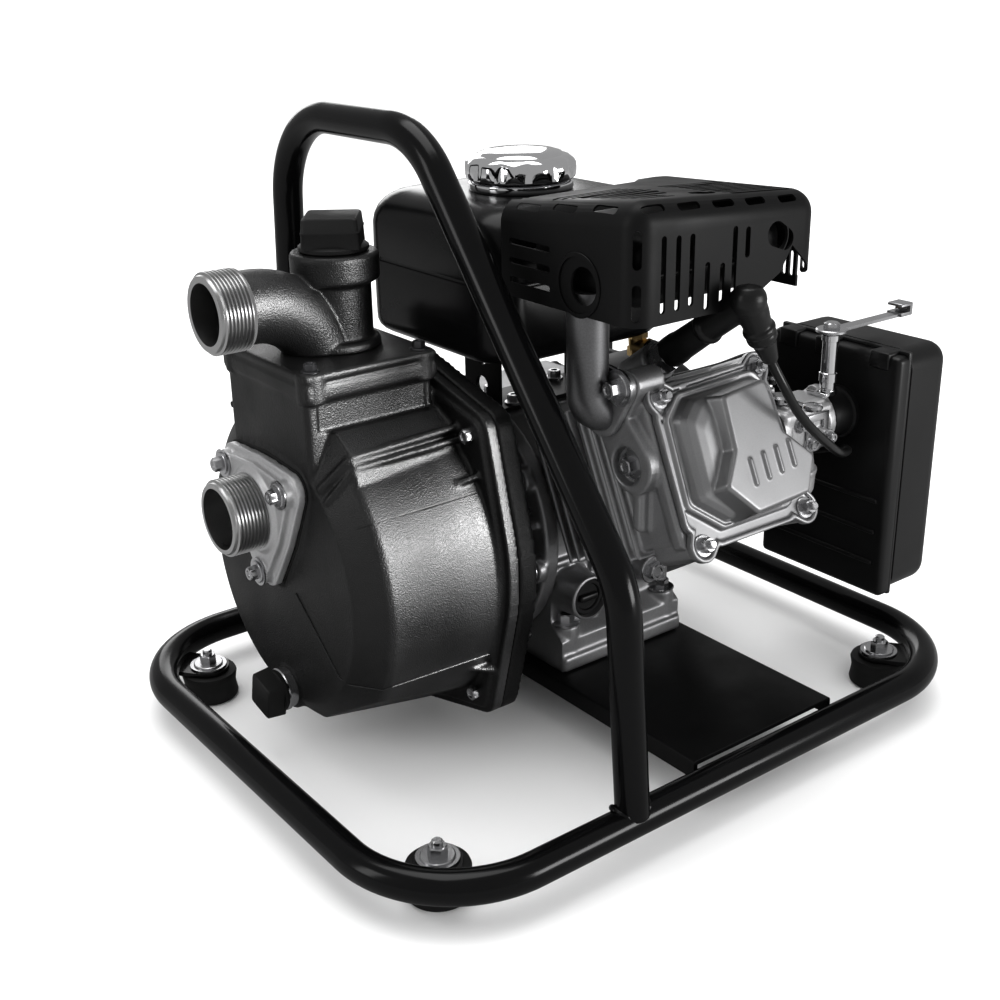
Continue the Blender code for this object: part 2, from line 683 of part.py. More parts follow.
def build_head():
    body = leaned(block((-46, -46, HEAD[0]), (46, 46, HEAD[1]), 4.0))
    fins = [leaned(block((-50, -50, 141 + 9 * k), (50, 50, 144 + 9 * k))) for k in range(3)]
    intake = rod((60, PORT_Y, PORT_Z), (80, PORT_Y, PORT_Z), 18, 24)
    exhaust = rod((-31, PORT_Y + 4, PORT_Z + 9), (-10, PORT_Y + 4, PORT_Z + 9), 19, 24)
    plug_boss = rod(*plug_line(-26, 2), 12, 24)
    rocker_room = leaned(block((-34, -38, 168), (34, 34, HEAD[1] + 2)))
    squish = leaned(rod((0, 0, HEAD[0] - 1), (0, 0, HEAD[0] + 5), BORE_R - 1))
    intake_bore = rod((58, PORT_Y, PORT_Z), (82, PORT_Y, PORT_Z), 10, 24)
    exhaust_bore = rod((-33, PORT_Y + 4, PORT_Z + 9), (-12, PORT_Y + 4, PORT_Z + 9), 10, 24)
    plug_hole = rod(*plug_line(-14, 4), 7.3, 24)
    cut = [rocker_room, squish, intake_bore, exhaust_bore, plug_hole]
    add = fins + [intake, exhaust, plug_boss]
    node("cylinder_head", combine(body, add=add, cut=cut), "aluminium")

    flange = leaned(prism(rounded([(-50, -53), (50, -53), (50, 53), (-50, 53)], 12.0), "Z", 200.3, 204.5))
    dome = leaned(loft([frame_ring(40, 43, 204, 10), frame_ring(38, 41, 212, 9), frame_ring(27, 31, 228, 6)]))
    room = leaned(loft([frame_ring(36, 39, 199, 8), frame_ring(35, 38, 211, 8), frame_ring(24, 28, 225, 4)]))
    node("valve_cover", combine(flange, add=[dome], cut=[room]), "satin_aluminium")


def frame_ring(half_x, half_y, along, radius):
    """A rounded rectangle at one height, as a ring for a loft."""
    corners = [(-half_x, -half_y), (half_x, -half_y), (half_x, half_y), (-half_x, half_y)]
    return [Vector((x, y, along)) for x, y in rounded(corners, radius, 3)]


def beside_flywheel(x, radius):
    """A point on the ignition coil's own radius from the shaft line."""
    return (x, SHAFT_Y - radius * math.cos(COIL_TURN), SHAFT_Z + radius * math.sin(COIL_TURN))


def plug_line(start, end):
    """Two points on the spark plug's line, measured from the plug's seat on the head."""
    seat = Vector((11, -95, 257))
    tip = Vector((5, -166, 306))
    heading = (tip - seat).normalized()
    return seat + heading * start, seat + heading * end


def build_ignition():
    seat, end = plug_line(4.6, 40)
    heading = end - seat
    profile = [(0, 10), (6, 10), (6, 7), (30, 5.5), (30, 2.5), (35, 2.5)]
    body = turned(profile, seat, heading, 24)
    stem = rod(*plug_line(-13, 6), 7, 24)
    node("spark_plug", combine(body, add=[stem]), "steel")

    low, high = plug_line(13, 86)
    sleeve = turned([(0, 9.8), (12, 9.8), (30, 9.2), (73, 10.5)], low, high - low, 28)
    knuckle = high + Vector((0, 0, -1))
    cap = turned([(-12, 0), (-11, 6), (-7, 10), (0, 12), (7, 10), (11, 6), (12, 0)], knuckle, (0, 0, 1), 28)
    collar = turned([(0, 11), (14, 9.5), (17, 10), (25, 8)], knuckle, (0.08, 0, -1), 28)
    room = turned([(0, 7.6), (24, 7.4), (28, 3)], low - (high - low).normalized(), high - low, 24)
    node("plug_boot", combine(sleeve, add=[cap, collar], cut=[room]), "rubber")

    route = [
        (7.4, -166, 279), (9, -167.5, 270), (24, -173, 254), (42, -172, 240), (70, -163, 219),
        (104, -150, 199), (138, -136, 187), (156, -112, 174), (152, -84, 165), (138, -60, 162),
        beside_flywheel(LEAD_X + 4, 96), beside_flywheel(LEAD_X, 88), beside_flywheel(LEAD_X, 78.4),
    ]
    cord("ignition_lead", route, 3.5, "rubber")

    coil = block((100, -78, -14), (130, -67.5, 14), 1.5)
    turn = Matrix.Rotation(-COIL_TURN, 4, "X")
    coil.data.transform(Matrix.Translation(Vector((0, SHAFT_Y, SHAFT_Z)) * MM) @ turn)
    node("ignition_coil", coil, "black_satin")


def cord(name, route, radius, finish):
    """A flexible line as a bevelled curve through a smooth run of points."""
    points = smooth_route([Vector(point) for point in route], 3)
    curve = bpy.data.curves.new(name, "CURVE")
    curve.dimensions = "3D"
    curve.bevel_depth = radius * MM
    curve.bevel_resolution = 2
    curve.use_fill_caps = True
    line = curve.splines.new("POLY")
    line.points.add(len(points) - 1)
    for target, point in zip(line.points, points):
        target.co = (*(point * MM), 1.0)
    made = bpy.data.objects.new(name, curve)
    bpy.context.collection.objects.link(made)
    return node(name, made, finish)


def smooth_route(points, steps):
    """A Catmull-Rom curve through the points, with a few steps between each two."""
    ends = [2 * points[0] - points[1]] + points + [2 * points[-1] - points[-2]]
    smooth = []
    for a, b, c, d in zip(ends, ends[1:], ends[2:], ends[3:]):
        for k in range(steps):
            t = k / steps
            cubic = -a + 3 * b - 3 * c + d
            square = 2 * a - 5 * b + 4 * c - d
            smooth.append(b + (c - a) * t / 2 + square * t ** 2 / 2 + cubic * t ** 3 / 2)
    smooth.append(points[-1])
    return smooth


def build_fan_end():
    length = STARTER_X - GAP - CASE_X[1] - GAP
    start = CASE_X[1] + GAP
    shroud = turned(
        [(0, SHROUD_R - 3), (0, SHROUD_R), (length - 6, SHROUD_R), (length, SHROUD_R - 6),
         (length, 40), (length - 3, 40), (length - 3, SHROUD_R - 8), (length - 8, SHROUD_R - 3)],
        (start, SHAFT_Y, SHAFT_Z), (1, 0, 0), 32, hollow=True,
    )
    duct = block((start, -64, 108), (start + 26, -20, 206), 4.0)
    duct_room = block((start - 5, -61, 111), (start + 23, 0, 203))
    switch_seat = block((148, 90, 174), (155, 110, 196), 1.0)
    lead_hole = rod(beside_flywheel(LEAD_X, 95), beside_flywheel(LEAD_X, 74), 6, 20)
    shroud_room = disc((start - 1, start + length - 9), SHROUD_R - 3.2, sides=32)
    cut = [duct_room, shroud_room, lead_hole]
    node("fan_shroud", combine(shroud, add=[duct, switch_seat], cut=cut), "black_satin")

    cover = turned(
        [(0, 62), (8, 62), (18, 52), (30, 46), (33, 0), (30, 0), (27.5, 43), (16, 49), (6, 59), (0, 59)],
        (STARTER_X, SHAFT_Y, SHAFT_Z), (1, 0, 0), 32, hollow=True,
    )
    post = disc((158, STARTER_X + 31), 5, sides=24)
    rope_guide = rod((ROPE_X, 80, ROPE_Z), (ROPE_X, 100, ROPE_Z), 8, 24)
    rope_hole = rod((ROPE_X, 70, ROPE_Z), (ROPE_X, 102, ROPE_Z), 3.2, 16)
    node("starter_cover", combine(cover, add=[rope_guide, post], cut=[rope_hole]), "black_satin")

    profile = [(0, 5.3), (0, 42), (2, 42), (3, 34), (7, 34), (8, 42), (10, 42), (10, 5.3)]
    pulley = turned(profile, (160, SHAFT_Y, SHAFT_Z), (1, 0, 0), 40, hollow=True)
    node("starter_pulley", pulley, "black_satin", (165, SHAFT_Y, SHAFT_Z))

    grip = block((ROPE_X - 11, 126, ROPE_Z - 40), (ROPE_X + 11, 146, ROPE_Z + 40), 8.0, 2)
    nose = rod((ROPE_X, 118, ROPE_Z), (ROPE_X, 130, ROPE_Z), 6, 24, end_radius=9)
    node("starter_grip", combine(grip, add=[nose]), "rubber", (ROPE_X, 126, ROPE_Z))
    cord("starter_rope", [(ROPE_X, 82, ROPE_Z), (ROPE_X, 100, ROPE_Z), (ROPE_X, 118 - GAP, ROPE_Z)], 2.0, "fibre")

    rocker = prism([(156.6, -6), (161.5, -8), (160, 0), (161.5, 8), (156.6, 6)], "Y", 94.0, 106.0)
    rocker.data.transform(Matrix.Translation(Vector((0, 0, 185)) * MM))
    node("stop_switch", rocker, "black_gloss", (158, 100, 185))


# ---------------------------------------------------------------- fuel, exhaust and air

def tank_ring(height, inset):
    """The tank's outline at one height, drawn in by an inset."""
    low_x = TANK_LOW[0] + inset
    low_y = TANK_LOW[1] + inset
    high_x = TANK_HIGH[0] - inset
    high_y = TANK_HIGH[1] - inset
    corners = [(low_x, low_y), (high_x, low_y), (high_x, high_y), (low_x, high_y)]
    return [Vector((x, y, height)) for x, y in rounded(corners, TANK_CORNER, 5)]


def build_fuel():
    tank = loft([tank_ring(*level) for level in TANK_LEVELS])
    top = TANK_HIGH[2]
    neck = rod((CAP_X, CAP_Y, top - 3), (CAP_X, CAP_Y, top + 6), 31)
    tube = rod((CAP_X, CAP_Y, top - 3), (CAP_X, CAP_Y, top + 11), 23)
    bore = rod((CAP_X, CAP_Y, top - 40), (CAP_X, CAP_Y, top + 12), 19)
    node("fuel_tank", combine(tank, add=[neck, tube], cut=[bore]), "black_gloss")

    profile = [(6.4, 25), (6.4, 35.5), (19, 35.5), (22, 32), (24, 20), (24.4, 0), (19, 0), (19, 25)]
    cap = turned(profile, (CAP_X, CAP_Y, top), (0, 0, 1), 36, hollow=True)
    node("fuel_cap", cap, "chrome", (CAP_X, CAP_Y, top + 6))

    under = TANK_LOW[2] - GAP
    outline = [
        (-44, under), (-44, under - 2.5), (-16.5, under - 2.5), (-16.5, CASE_TOP + GAP),
        (72.5, CASE_TOP + GAP), (72.5, under - 2.5), (80, under - 2.5), (80, under), (70, under),
        (70, CASE_TOP + 3), (-14, CASE_TOP + 3), (-14, under),
    ]
    node("tank_bracket", prism(outline, "Y", 24, 62), "black_satin")

    body = rod((66, -18, TAP_Z - 9), (66, -18, TANK_LOW[2] - GAP), 6, 20)
    valve = rod((66, -18, TAP_Z), (66, -30, TAP_Z), 6.5, 20)
    node("fuel_tap", combine(body, add=[valve]), "brass")
    hub = rod((66, -30 - GAP, TAP_Z), (66, -34, TAP_Z), 7, 20)
    arm = block((63.5, -34, TAP_Z - 25), (68.5, -31, TAP_Z - 2), 0.8)
    node("fuel_tap_lever", combine(hub, add=[arm]), "black_satin", (66, -30, TAP_Z))
    route = [
        (66, -18, TAP_Z - 9 - GAP), (66, -18, 227), (66, -18, 223.5), (80, -30, 217), (96, -60, 228),
        (107, -82, 239), (112, -94, 236), (112, -94, 223.0),
    ]
    cord("fuel_hose", route, 3.5, "rubber")


def build_air():
    insulator = rod((80.3, PORT_Y, PORT_Z), (97.7, PORT_Y, PORT_Z), 17, 24)
    bore = rod((79, PORT_Y, PORT_Z), (99, PORT_Y, PORT_Z), 10, 24)
    node("intake_insulator", combine(insulator, cut=[bore]), "black_satin")

    body = block((98, PORT_Y - 19, PORT_Z - 17), (145, PORT_Y + 19, PORT_Z + 18), 3.0)
    bowl = rod((120, PORT_Y, 148), (120, PORT_Y, PORT_Z - 14), 18, 24)
    spigot = rod((112, -94, PORT_Z + 14), (112, -94, PORT_Z + 26), 3, 16)
    throat = rod((97, PORT_Y, PORT_Z), (147, PORT_Y, PORT_Z), 9, 24)
    node("carburettor", combine(body, add=[bowl, spigot], cut=[throat]), "aluminium")

    duct = rod((145.3, PORT_Y, PORT_Z), (BOX_LOW[0] - GAP, PORT_Y, PORT_Z), 16, 24)
    bore = rod((144, PORT_Y, PORT_Z), (BOX_LOW[0] + 1, PORT_Y, PORT_Z), 10, 24)
    node("intake_duct", combine(duct, cut=[bore]), "black_satin")

    top = PORT_Z + 18
    hub = rod((108, PORT_Y, top + GAP), (108, PORT_Y, top + 5), 7, 24)
    arm = block((105.5, PORT_Y - 32, top + 1.5), (110.5, PORT_Y - 4, top + 4), 0.8)
    node("choke_lever", combine(hub, add=[arm]), "steel", (108, PORT_Y, top))

    foot = block((POST_X - 11, POST_Y - 8, top + GAP), (POST_X - 2, POST_Y + 8, top + 3))
    post = rod((POST_X, POST_Y, top + GAP), (POST_X, POST_Y, POST_TOP), 6, 24)
    node("lever_post", combine(post, add=[foot]), "chrome")

    pivot = (POST_X, POST_Y, POST_TOP)
    hub = rod((POST_X, POST_Y, POST_TOP + GAP), (POST_X, POST_Y, POST_TOP + 3), 10, 24)
    arm = block((POST_X, POST_Y - 4, POST_TOP + GAP), (POST_X + 72, POST_Y + 4, POST_TOP + 2.5))
    tab = block((POST_X + 62, POST_Y - 6, POST_TOP + GAP), (POST_X + 74, POST_Y + 6, POST_TOP + 9), 1.0)
    node("speed_lever", combine(hub, add=[arm, tab]), "steel", pivot)

    split = BOX_LOW[0] + 13
    back = block(BOX_LOW, (split, BOX_HIGH[1], BOX_HIGH[2]), 3.0)
    pocket = block(
        (BOX_LOW[0] + 3, BOX_LOW[1] + 4, BOX_LOW[2] + 4), (split + 5, BOX_HIGH[1] - 4, BOX_HIGH[2] - 4))
    hole = rod((BOX_LOW[0] - 2, PORT_Y, PORT_Z), (BOX_LOW[0] + 6, PORT_Y, PORT_Z), 10, 24)
    node("air_cleaner_back", combine(back, cut=[pocket, hole]), "black_satin")

    cover = block((split + GAP - 14, *BOX_LOW[1:]), BOX_HIGH, 12.0, 3)
    room = block((split - 20, BOX_LOW[1] + 3, BOX_LOW[2] + 3), (BOX_HIGH[0] - 3, BOX_HIGH[1] - 3, BOX_HIGH[2] - 3), 9.0, 2)
    trim = block((split - 30, BOX_LOW[1] - 5, BOX_LOW[2] - 5), (split + GAP, BOX_HIGH[1] + 5, BOX_HIGH[2] + 5))
    node("air_cleaner_cover", combine(cover, cut=[room, trim]), "black_satin")

    element = block((split - 2, BOX_LOW[1] + 12, BOX_LOW[2] + 40), (BOX_HIGH[0] - 8, BOX_HIGH[1] - 12, BOX_HIGH[2] - 12), 2.0)
    node("air_filter", element, "foam")


def build_exhaust():
    body = block((-50, -142, 304), (64, -50, 343), 12.0, 2)
    port = (PORT_Y + 4, PORT_Z + 9)
    pipe = rod((PIPE_X, port[0], port[1] - 10), (PIPE_X, port[0], 310), 12.5, 28)
    branch = rod((-33, *port), (PIPE_X, *port), 12.5, 28)
    flange = block((-36, port[0] - 24, port[1] - 14), (-31 - GAP, port[0] + 24, port[1] + 14), 1.5)
    node("muffler", combine(body, add=[pipe, branch, flange]), "black_satin")

    wall = 1.6
    lower = (SHIELD_LOW[0], SHIELD_LOW[1], SHIELD_LOW[2] - 20)
    shield = sloped(block(lower, (SHIELD_HIGH[0], SHIELD_HIGH[1] + 20, SHIELD_HIGH[2]), 12.0, 3))
    inner_low = (SHIELD_LOW[0] + wall, SHIELD_LOW[1] + wall, SHIELD_LOW[2] - 40)
    inner_high = (SHIELD_HIGH[0] - wall, SHIELD_HIGH[1] + 30, SHIELD_HIGH[2] - wall)
    room = sloped(block(inner_low, inner_high, 10.5, 3))
    behind = block((-70, SHIELD_HIGH[1], 240), (90, SHIELD_HIGH[1] + 40, 380))
    below = block((-70, -160, 240), (90, -20, SHIELD_LOW[2]))
    boot_gap = block((-9, -160, 290), (22, -140, 312))
    node("heat_shield", combine(shield, cut=[room, behind, below, boot_gap]), "black_satin")


def sloped(made):
    """Lowers the shield's upper half towards the fan end and the tank."""
    low = Vector(SHIELD_LOW) * MM
    size = Vector(SHIELD_HIGH) * MM - low
    for vert in made.data.vertices:
        if vert.co.z > low.z + size.z / 2:
            across = min(max((vert.co.x - low.x) / size.x, 0.0), 1.0)
            back = min(max((vert.co.y - low.y) / size.y, 0.0), 1.0)
            fall = max(SHIELD_DROP_X * across, SHIELD_DROP_Y * back)
            vert.co.z -= fall * MM
    return made


def main():
    clear_scene()
    build_frame()
    build_casing()
    build_pump_inside()
    build_suction()
    build_outlet()
    build_crankcase()
    build_crank_train()
    build_head()
    build_ignition()
    build_fan_end()
    build_fuel()
    build_air()
    build_exhaust()


main()
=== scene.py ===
"""Looks of the portable fire pump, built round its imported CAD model.

Sizes are in millimetres in the model's own frame, and are scaled to metres where a mesh is made.
+X runs from the pump to the fan end of the engine, +Y to the far side, +Z up.
"""

import math

import bmesh
import bpy
from mathutils import Matrix, Vector


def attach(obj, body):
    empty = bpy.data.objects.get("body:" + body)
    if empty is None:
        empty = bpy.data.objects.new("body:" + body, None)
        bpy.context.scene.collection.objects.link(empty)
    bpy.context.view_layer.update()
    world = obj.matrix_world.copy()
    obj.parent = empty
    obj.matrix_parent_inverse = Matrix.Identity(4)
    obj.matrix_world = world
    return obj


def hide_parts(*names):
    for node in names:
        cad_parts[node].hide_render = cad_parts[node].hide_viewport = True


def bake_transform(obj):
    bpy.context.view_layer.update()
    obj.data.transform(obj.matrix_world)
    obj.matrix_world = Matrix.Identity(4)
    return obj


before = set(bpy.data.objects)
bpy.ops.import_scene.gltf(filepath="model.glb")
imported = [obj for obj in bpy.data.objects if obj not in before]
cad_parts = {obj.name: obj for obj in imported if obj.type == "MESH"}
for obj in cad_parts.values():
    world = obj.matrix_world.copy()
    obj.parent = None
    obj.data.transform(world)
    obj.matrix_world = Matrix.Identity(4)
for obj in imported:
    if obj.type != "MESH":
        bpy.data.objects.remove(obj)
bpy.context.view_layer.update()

MM = 0.001
ROOT = "frame_and_engine"
UP = (0, 0, 1)
ALONG = (1, 0, 0)
BACK = (-1, 0, 0)
NEAR = (0, -1, 0)

# The gap left between two pieces that are bolted together
GAP = 0.3

# Frame
TUBE_R = 10.0
TUBE_Z = 26.0
LOOP_X = 227.0
LOOP_Y = 184.0
LOOP_BEND = 73.0
HANDLE_X = -84.6
HANDLE_TOP = 388.5
FOOT_X = 188.0
FOOT_Y = 140.0
FOOT_TOP = 20.2
TAB_THICK = 3.0
PLATE_X = (-26.0, 96.0)
PLATE_Z = (32.6, 35.6)

# Pump
SHAFT_Y = 44.0
SHAFT_Z = 126.0
CASE_FRONT = -175.0
CASE_FLANGE = (-84.5, -77.0)
DRUM_R = 110.0
BRACKET = (-76.7, -64.5)
FLANGE_R = 122.0
FLANGE_Y = 46.5
FLANGE_Z = 132.0
LOBE_R = 15.0
TOWER_TOP = 264.0
LID_SEAT = TOWER_TOP - 0.2
LID_CORNERS = ((-168.0, 0), (-168.0, 88), (-94, 0), (-94, 88))
SEAM_TURN = 147.4
INLET_Y = 47.0
INLET_Z = 170.0
INLET_MOUTH = -212.0
THREAD_R = 23.9
THREAD_PITCH = 2.31
BOLT_CIRCLE = 41.0
NECK_X = -124.0
NECK_Y = 41.0
NECK_R = 22.5
PIPE_R = 21.5
BEND_R = 47.0
BEND_AHEAD = 11.0
OUTLET_Z = 296.0
OUTLET_MOUTH = -210.0
COLLAR_TOP = 321.0
PLUG_TURN = -37.0
DRAIN_Z = 44.5
DRAIN_TURN = 12.6

# Engine
CYL_X = 23.0
CYL_LEAN = math.radians(25.0)
LEAN = Matrix.Rotation(math.pi / 2 - CYL_LEAN, 4, "X")
DECK = 131.7
HEAD = (132.0, 200.0)
COVER_BOLTS = ((-38, 38.5), (41, 41), (-36, -49), (50, -48))
CASE_X = (-18.0, 88.0)
CASE_TOP = 200.0
CAM_Y = SHAFT_Y + 40.5 * math.sqrt(0.5)
CAM_Z = SHAFT_Z + 40.5 * math.sqrt(0.5)
FILLER_X = -2.0
FILLER_Z = 90.0
SHROUD_X = CASE_X[1] + GAP
SHROUD_R = 84.0
EAR_TURNS = (50, 120, 200, 255, 310)
STARTER_X = 150.3
COIL_TURN = math.radians(20.0)
LEAD_X = 122.0
LEAD_R = 2.8
ROPE_X = 165.0
ROPE_Z = 162.0
TANK_LOW = (-63.0, -35.0, 250.0)
TANK_HIGH = (82.0, 112.0, 343.0)
TANK_CORNER = 20.0
TAP_Z = 240.0
HOSE_R = 3.5
CAP_X = 11.0
CAP_Y = 34.0
SHIELD_LOW = (-60.0, -152.0, 299.0)
SHIELD_HIGH = (80.0, -38.3, 365.0)
SHIELD_DROP_X = 9.0
SHIELD_DROP_Y = 13.0
PORT_Y = -105.5
PORT_Z = 196.0
CARB_TOP = PORT_Z + 18
EXHAUST = (-97.0, 237.0)
PIPE_X = -45.0
BOX_LOW = (168.0, -150.0, 74.0)
BOX_HIGH = (222.0, -44.0, 243.0)
BOX_SPLIT = BOX_LOW[0] + 13
POST_X = 146.0
POST_Y = -112.0
POST_TOP = 254.0


# ---------------------------------------------------------------- materials

# name: colour, roughness, metallic, grain (per metre), grain depth (mm), tone spread, record slot
FINISHES = {
    "enamel": ((0.0030, 0.0030, 0.0032), 0.17, 0.0, 260, 0.010, 0.25, "black_gloss_paint"),
    "tank_paint": ((0.0035, 0.0035, 0.0037), 0.24, 0.0, 420, 0.006, 0.25, "black_gloss_paint"),
    "textured_paint": ((0.0035, 0.0035, 0.0036), 0.40, 0.0, 1300, 0.42, 0.6, "black_cast_paint"),
    "satin_paint": ((0.0035, 0.0035, 0.0037), 0.44, 0.0, 900, 0.02, 0.35, "black_satin_paint"),
    "plastic": ((0.0045, 0.0045, 0.0047), 0.40, 0.0, 1300, 0.025, 0.3, "black_plastic"),
    "boot_rubber": ((0.0045, 0.0045, 0.0045), 0.34, 0.0, 700, 0.02, 0.3, "rubber"),
    "rubber": ((0.006, 0.006, 0.006), 0.60, 0.0, 900, 0.04, 0.4, "rubber"),
    "engine_alu": ((0.30, 0.30, 0.305), 0.42, 0.85, 1100, 0.10, 0.35, "cast_aluminium"),
    "cast_alu": ((0.50, 0.50, 0.505), 0.44, 0.72, 1100, 0.10, 0.30, "cast_aluminium"),
    "cover_alu": ((0.34, 0.34, 0.345), 0.43, 0.95, 1500, 0.03, 0.18, "satin_aluminium"),
    "thread_alu": ((0.52, 0.52, 0.52), 0.30, 1.0, 1800, 0.02, 0.2, "cast_aluminium"),
    "zinc": ((0.55, 0.55, 0.56), 0.26, 1.0, 1500, 0.012, 0.3, "steel"),
    "dark_steel": ((0.12, 0.12, 0.125), 0.38, 1.0, 1200, 0.02, 0.3, "steel"),
    "chrome": ((0.82, 0.82, 0.83), 0.07, 1.0, 500, 0.002, 0.05, "chrome"),
    "iron": ((0.10, 0.10, 0.105), 0.55, 0.8, 900, 0.09, 0.4, "cast_iron"),
    "pipe_steel": ((0.24, 0.24, 0.245), 0.45, 1.0, 1100, 0.04, 0.4, "black_satin_paint"),
    "brass": ((0.60, 0.43, 0.20), 0.30, 1.0, 1200, 0.012, 0.2, "brass"),
    "foam": ((0.05, 0.05, 0.055), 0.95, 0.0, 700, 0.6, 0.5, "foam"),
    "fibre": ((0.08, 0.075, 0.07), 0.8, 0.0, 1400, 0.2, 0.5, "rope_fibre"),
}


def make_look(name):
    """A procedural material: mottled tone, uneven gloss and a fine surface grain."""
    colour, roughness, metallic, grain, depth, spread, _ = FINISHES[name]
    look = bpy.data.materials.new(name)
    look.use_nodes = True
    nodes = look.node_tree.nodes
    links = look.node_tree.links
    shader = nodes["Principled BSDF"]
    shader.inputs["Metallic"].default_value = metallic
    # The smooth black paints mirror less of the studio than the shader's usual share.
    if colour[0] < 0.004 and name != "textured_paint":
        shader.inputs["Specular IOR Level"].default_value = 0.3
    place_node = nodes.new("ShaderNodeTexCoord")

    def noise(scale, detail):
        made = nodes.new("ShaderNodeTexNoise")
        made.inputs["Scale"].default_value = scale
        made.inputs["Detail"].default_value = detail
        links.new(place_node.outputs["Object"], made.inputs["Vector"])
        return made

    cloud = noise(28.0, 5.0)
    speck = noise(grain, 2.0)
    tone = nodes.new("ShaderNodeMix")
    tone.data_type = "RGBA"
    tone.inputs["A"].default_value = (*[c * (1 - spread) for c in colour], 1)
    tone.inputs["B"].default_value = (*[min(1.0, c * (1 + spread)) for c in colour], 1)
    share = nodes.new("ShaderNodeMath")
    share.operation = "MULTIPLY_ADD"
    share.inputs[1].default_value = 0.5
    links.new(cloud.outputs["Fac"], share.inputs[0])
    half = nodes.new("ShaderNodeMath")
    half.operation = "MULTIPLY"
    half.inputs[1].default_value = 0.5
    links.new(speck.outputs["Fac"], half.inputs[0])
    links.new(half.outputs["Value"], share.inputs[2])
    links.new(share.outputs["Value"], tone.inputs["Factor"])
    links.new(tone.outputs["Result"], shader.inputs["Base Color"])
    gloss = nodes.new("ShaderNodeMapRange")
    gloss.inputs["From Min"].default_value = 0.3
    gloss.inputs["From Max"].default_value = 0.7
    gloss.inputs["To Min"].default_value = roughness * 0.82
    gloss.inputs["To Max"].default_value = min(1.0, roughness * 1.2)
    links.new(cloud.outputs["Fac"], gloss.inputs["Value"])
    links.new(gloss.outputs["Result"], shader.inputs["Roughness"])
    bump = nodes.new("ShaderNodeBump")
    bump.inputs["Strength"].default_value = 0.8
    bump.inputs["Distance"].default_value = depth * MM
    links.new(speck.outputs["Fac"], bump.inputs["Height"])
    links.new(bump.outputs["Normal"], shader.inputs["Normal"])
    return look


LOOKS = {name: make_look(name) for name in FINISHES}


# ---------------------------------------------------------------- shapes

def shape(bm):
    """An object from a mesh that was drawn in millimetres."""
    bmesh.ops.recalc_face_normals(bm, faces=bm.faces)
    bmesh.ops.scale(bm, vec=(MM, MM, MM), verts=bm.verts)
    mesh = bpy.data.meshes.new("shape")
    bm.to_mesh(mesh)
    bm.free()
    made = bpy.data.objects.new("shape", mesh)
    bpy.context.scene.collection.objects.link(made)
    return made


def place(axis, across, up, along):
    """A point of an outline drawn across one of the model's axes."""
    if axis == "X":
        return Vector((along, across, up))
    if axis == "Y":
        return Vector((across, along, up))
    return Vector((across, up, along))


def block(low, high, bevel=0.0, segments=3):
    bm = bmesh.new()
    bmesh.ops.create_cube(bm, size=1.0)
    low = Vector(low)
    high = Vector(high)
    bmesh.ops.scale(bm, vec=high - low, verts=bm.verts)
    bmesh.ops.translate(bm, vec=(high + low) / 2, verts=bm.verts)
    if bevel:
        bmesh.ops.bevel(bm, geom=bm.edges[:], offset=bevel, segments=segments, profile=0.5, affect="EDGES")
    return shape(bm)


def loft(rings):
    """A closed shape through rings of points, each with the same number of them."""
    bm = bmesh.new()
    rows = [[bm.verts.new(point) for point in ring] for ring in rings]
    bm.faces.new(rows[0])
    bm.faces.new(rows[-1])
    for row, following in zip(rows, rows[1:]):
        for i in range(len(row)):
            j = (i + 1) % len(row)
            bm.faces.new((row[i], row[j], following[j], following[i]))
    return shape(bm)


def prism(outline, axis, low, high):
    return loft([[place(axis, a, b, level) for a, b in outline] for level in (low, high)])


def turned(profile, centre, direction, sides=64, hollow=False):
    """Turns (distance, radius) points about a line; a radius can also be a function of the angle."""
    axis = Vector(direction).normalized()
    side = axis.orthogonal().normalized()
    other = axis.cross(side)
    centre = Vector(centre)
    bm = bmesh.new()
    rows = []
    for distance, radius in profile:
        middle = centre + axis * distance
        if radius == 0:
            rows.append([bm.verts.new(middle)] * sides)
            continue
        ring = []
        for i in range(sides):
            turn = 2 * math.pi * i / sides
            reach = radius(turn) if callable(radius) else radius
            ring.append(bm.verts.new(middle + (side * math.cos(turn) + other * math.sin(turn)) * reach))
        rows.append(ring)
    pairs = list(zip(rows, rows[1:]))
    if hollow:
        pairs.append((rows[-1], rows[0]))
    for row, following in pairs:
        for i in range(sides):
            j = (i + 1) % sides
            corners = []
            for vert in (row[i], row[j], following[j], following[i]):
                if vert not in corners:
                    corners.append(vert)
            if len(corners) > 2:
                bm.faces.new(corners)
    if not hollow:
        for row in (rows[0], rows[-1]):
            if row[0] is not row[1]:
                bm.faces.new(row)
    return shape(bm)


def rod(start, end, radius, end_radius=None, sides=64):
    start = Vector(start)
    end = Vector(end)
    last = radius if end_radius is None else end_radius
    return turned([(0, radius), ((end - start).length, last)], start, end - start, sides)


def disc(x_range, radius, y=SHAFT_Y, z=SHAFT_Z, sides=96):
    return rod((x_range[0], y, z), (x_range[1], y, z), radius, sides=sides)


def arc_in_corner(corner, back, ahead, radius, steps):
    half = back.angle(ahead) / 2
    middle = corner + (back + ahead).normalized() * (radius / math.sin(half))
    start = corner + back * (radius / math.tan(half)) - middle
    end = corner + ahead * (radius / math.tan(half)) - middle
    swing = start.angle(end)
    points = []
    for k in range(steps + 1):
        part = k / steps
        first = math.sin((1 - part) * swing) / math.sin(swing)
        second = math.sin(part * swing) / math.sin(swing)
        points.append(middle + start * first + end * second)
    return points


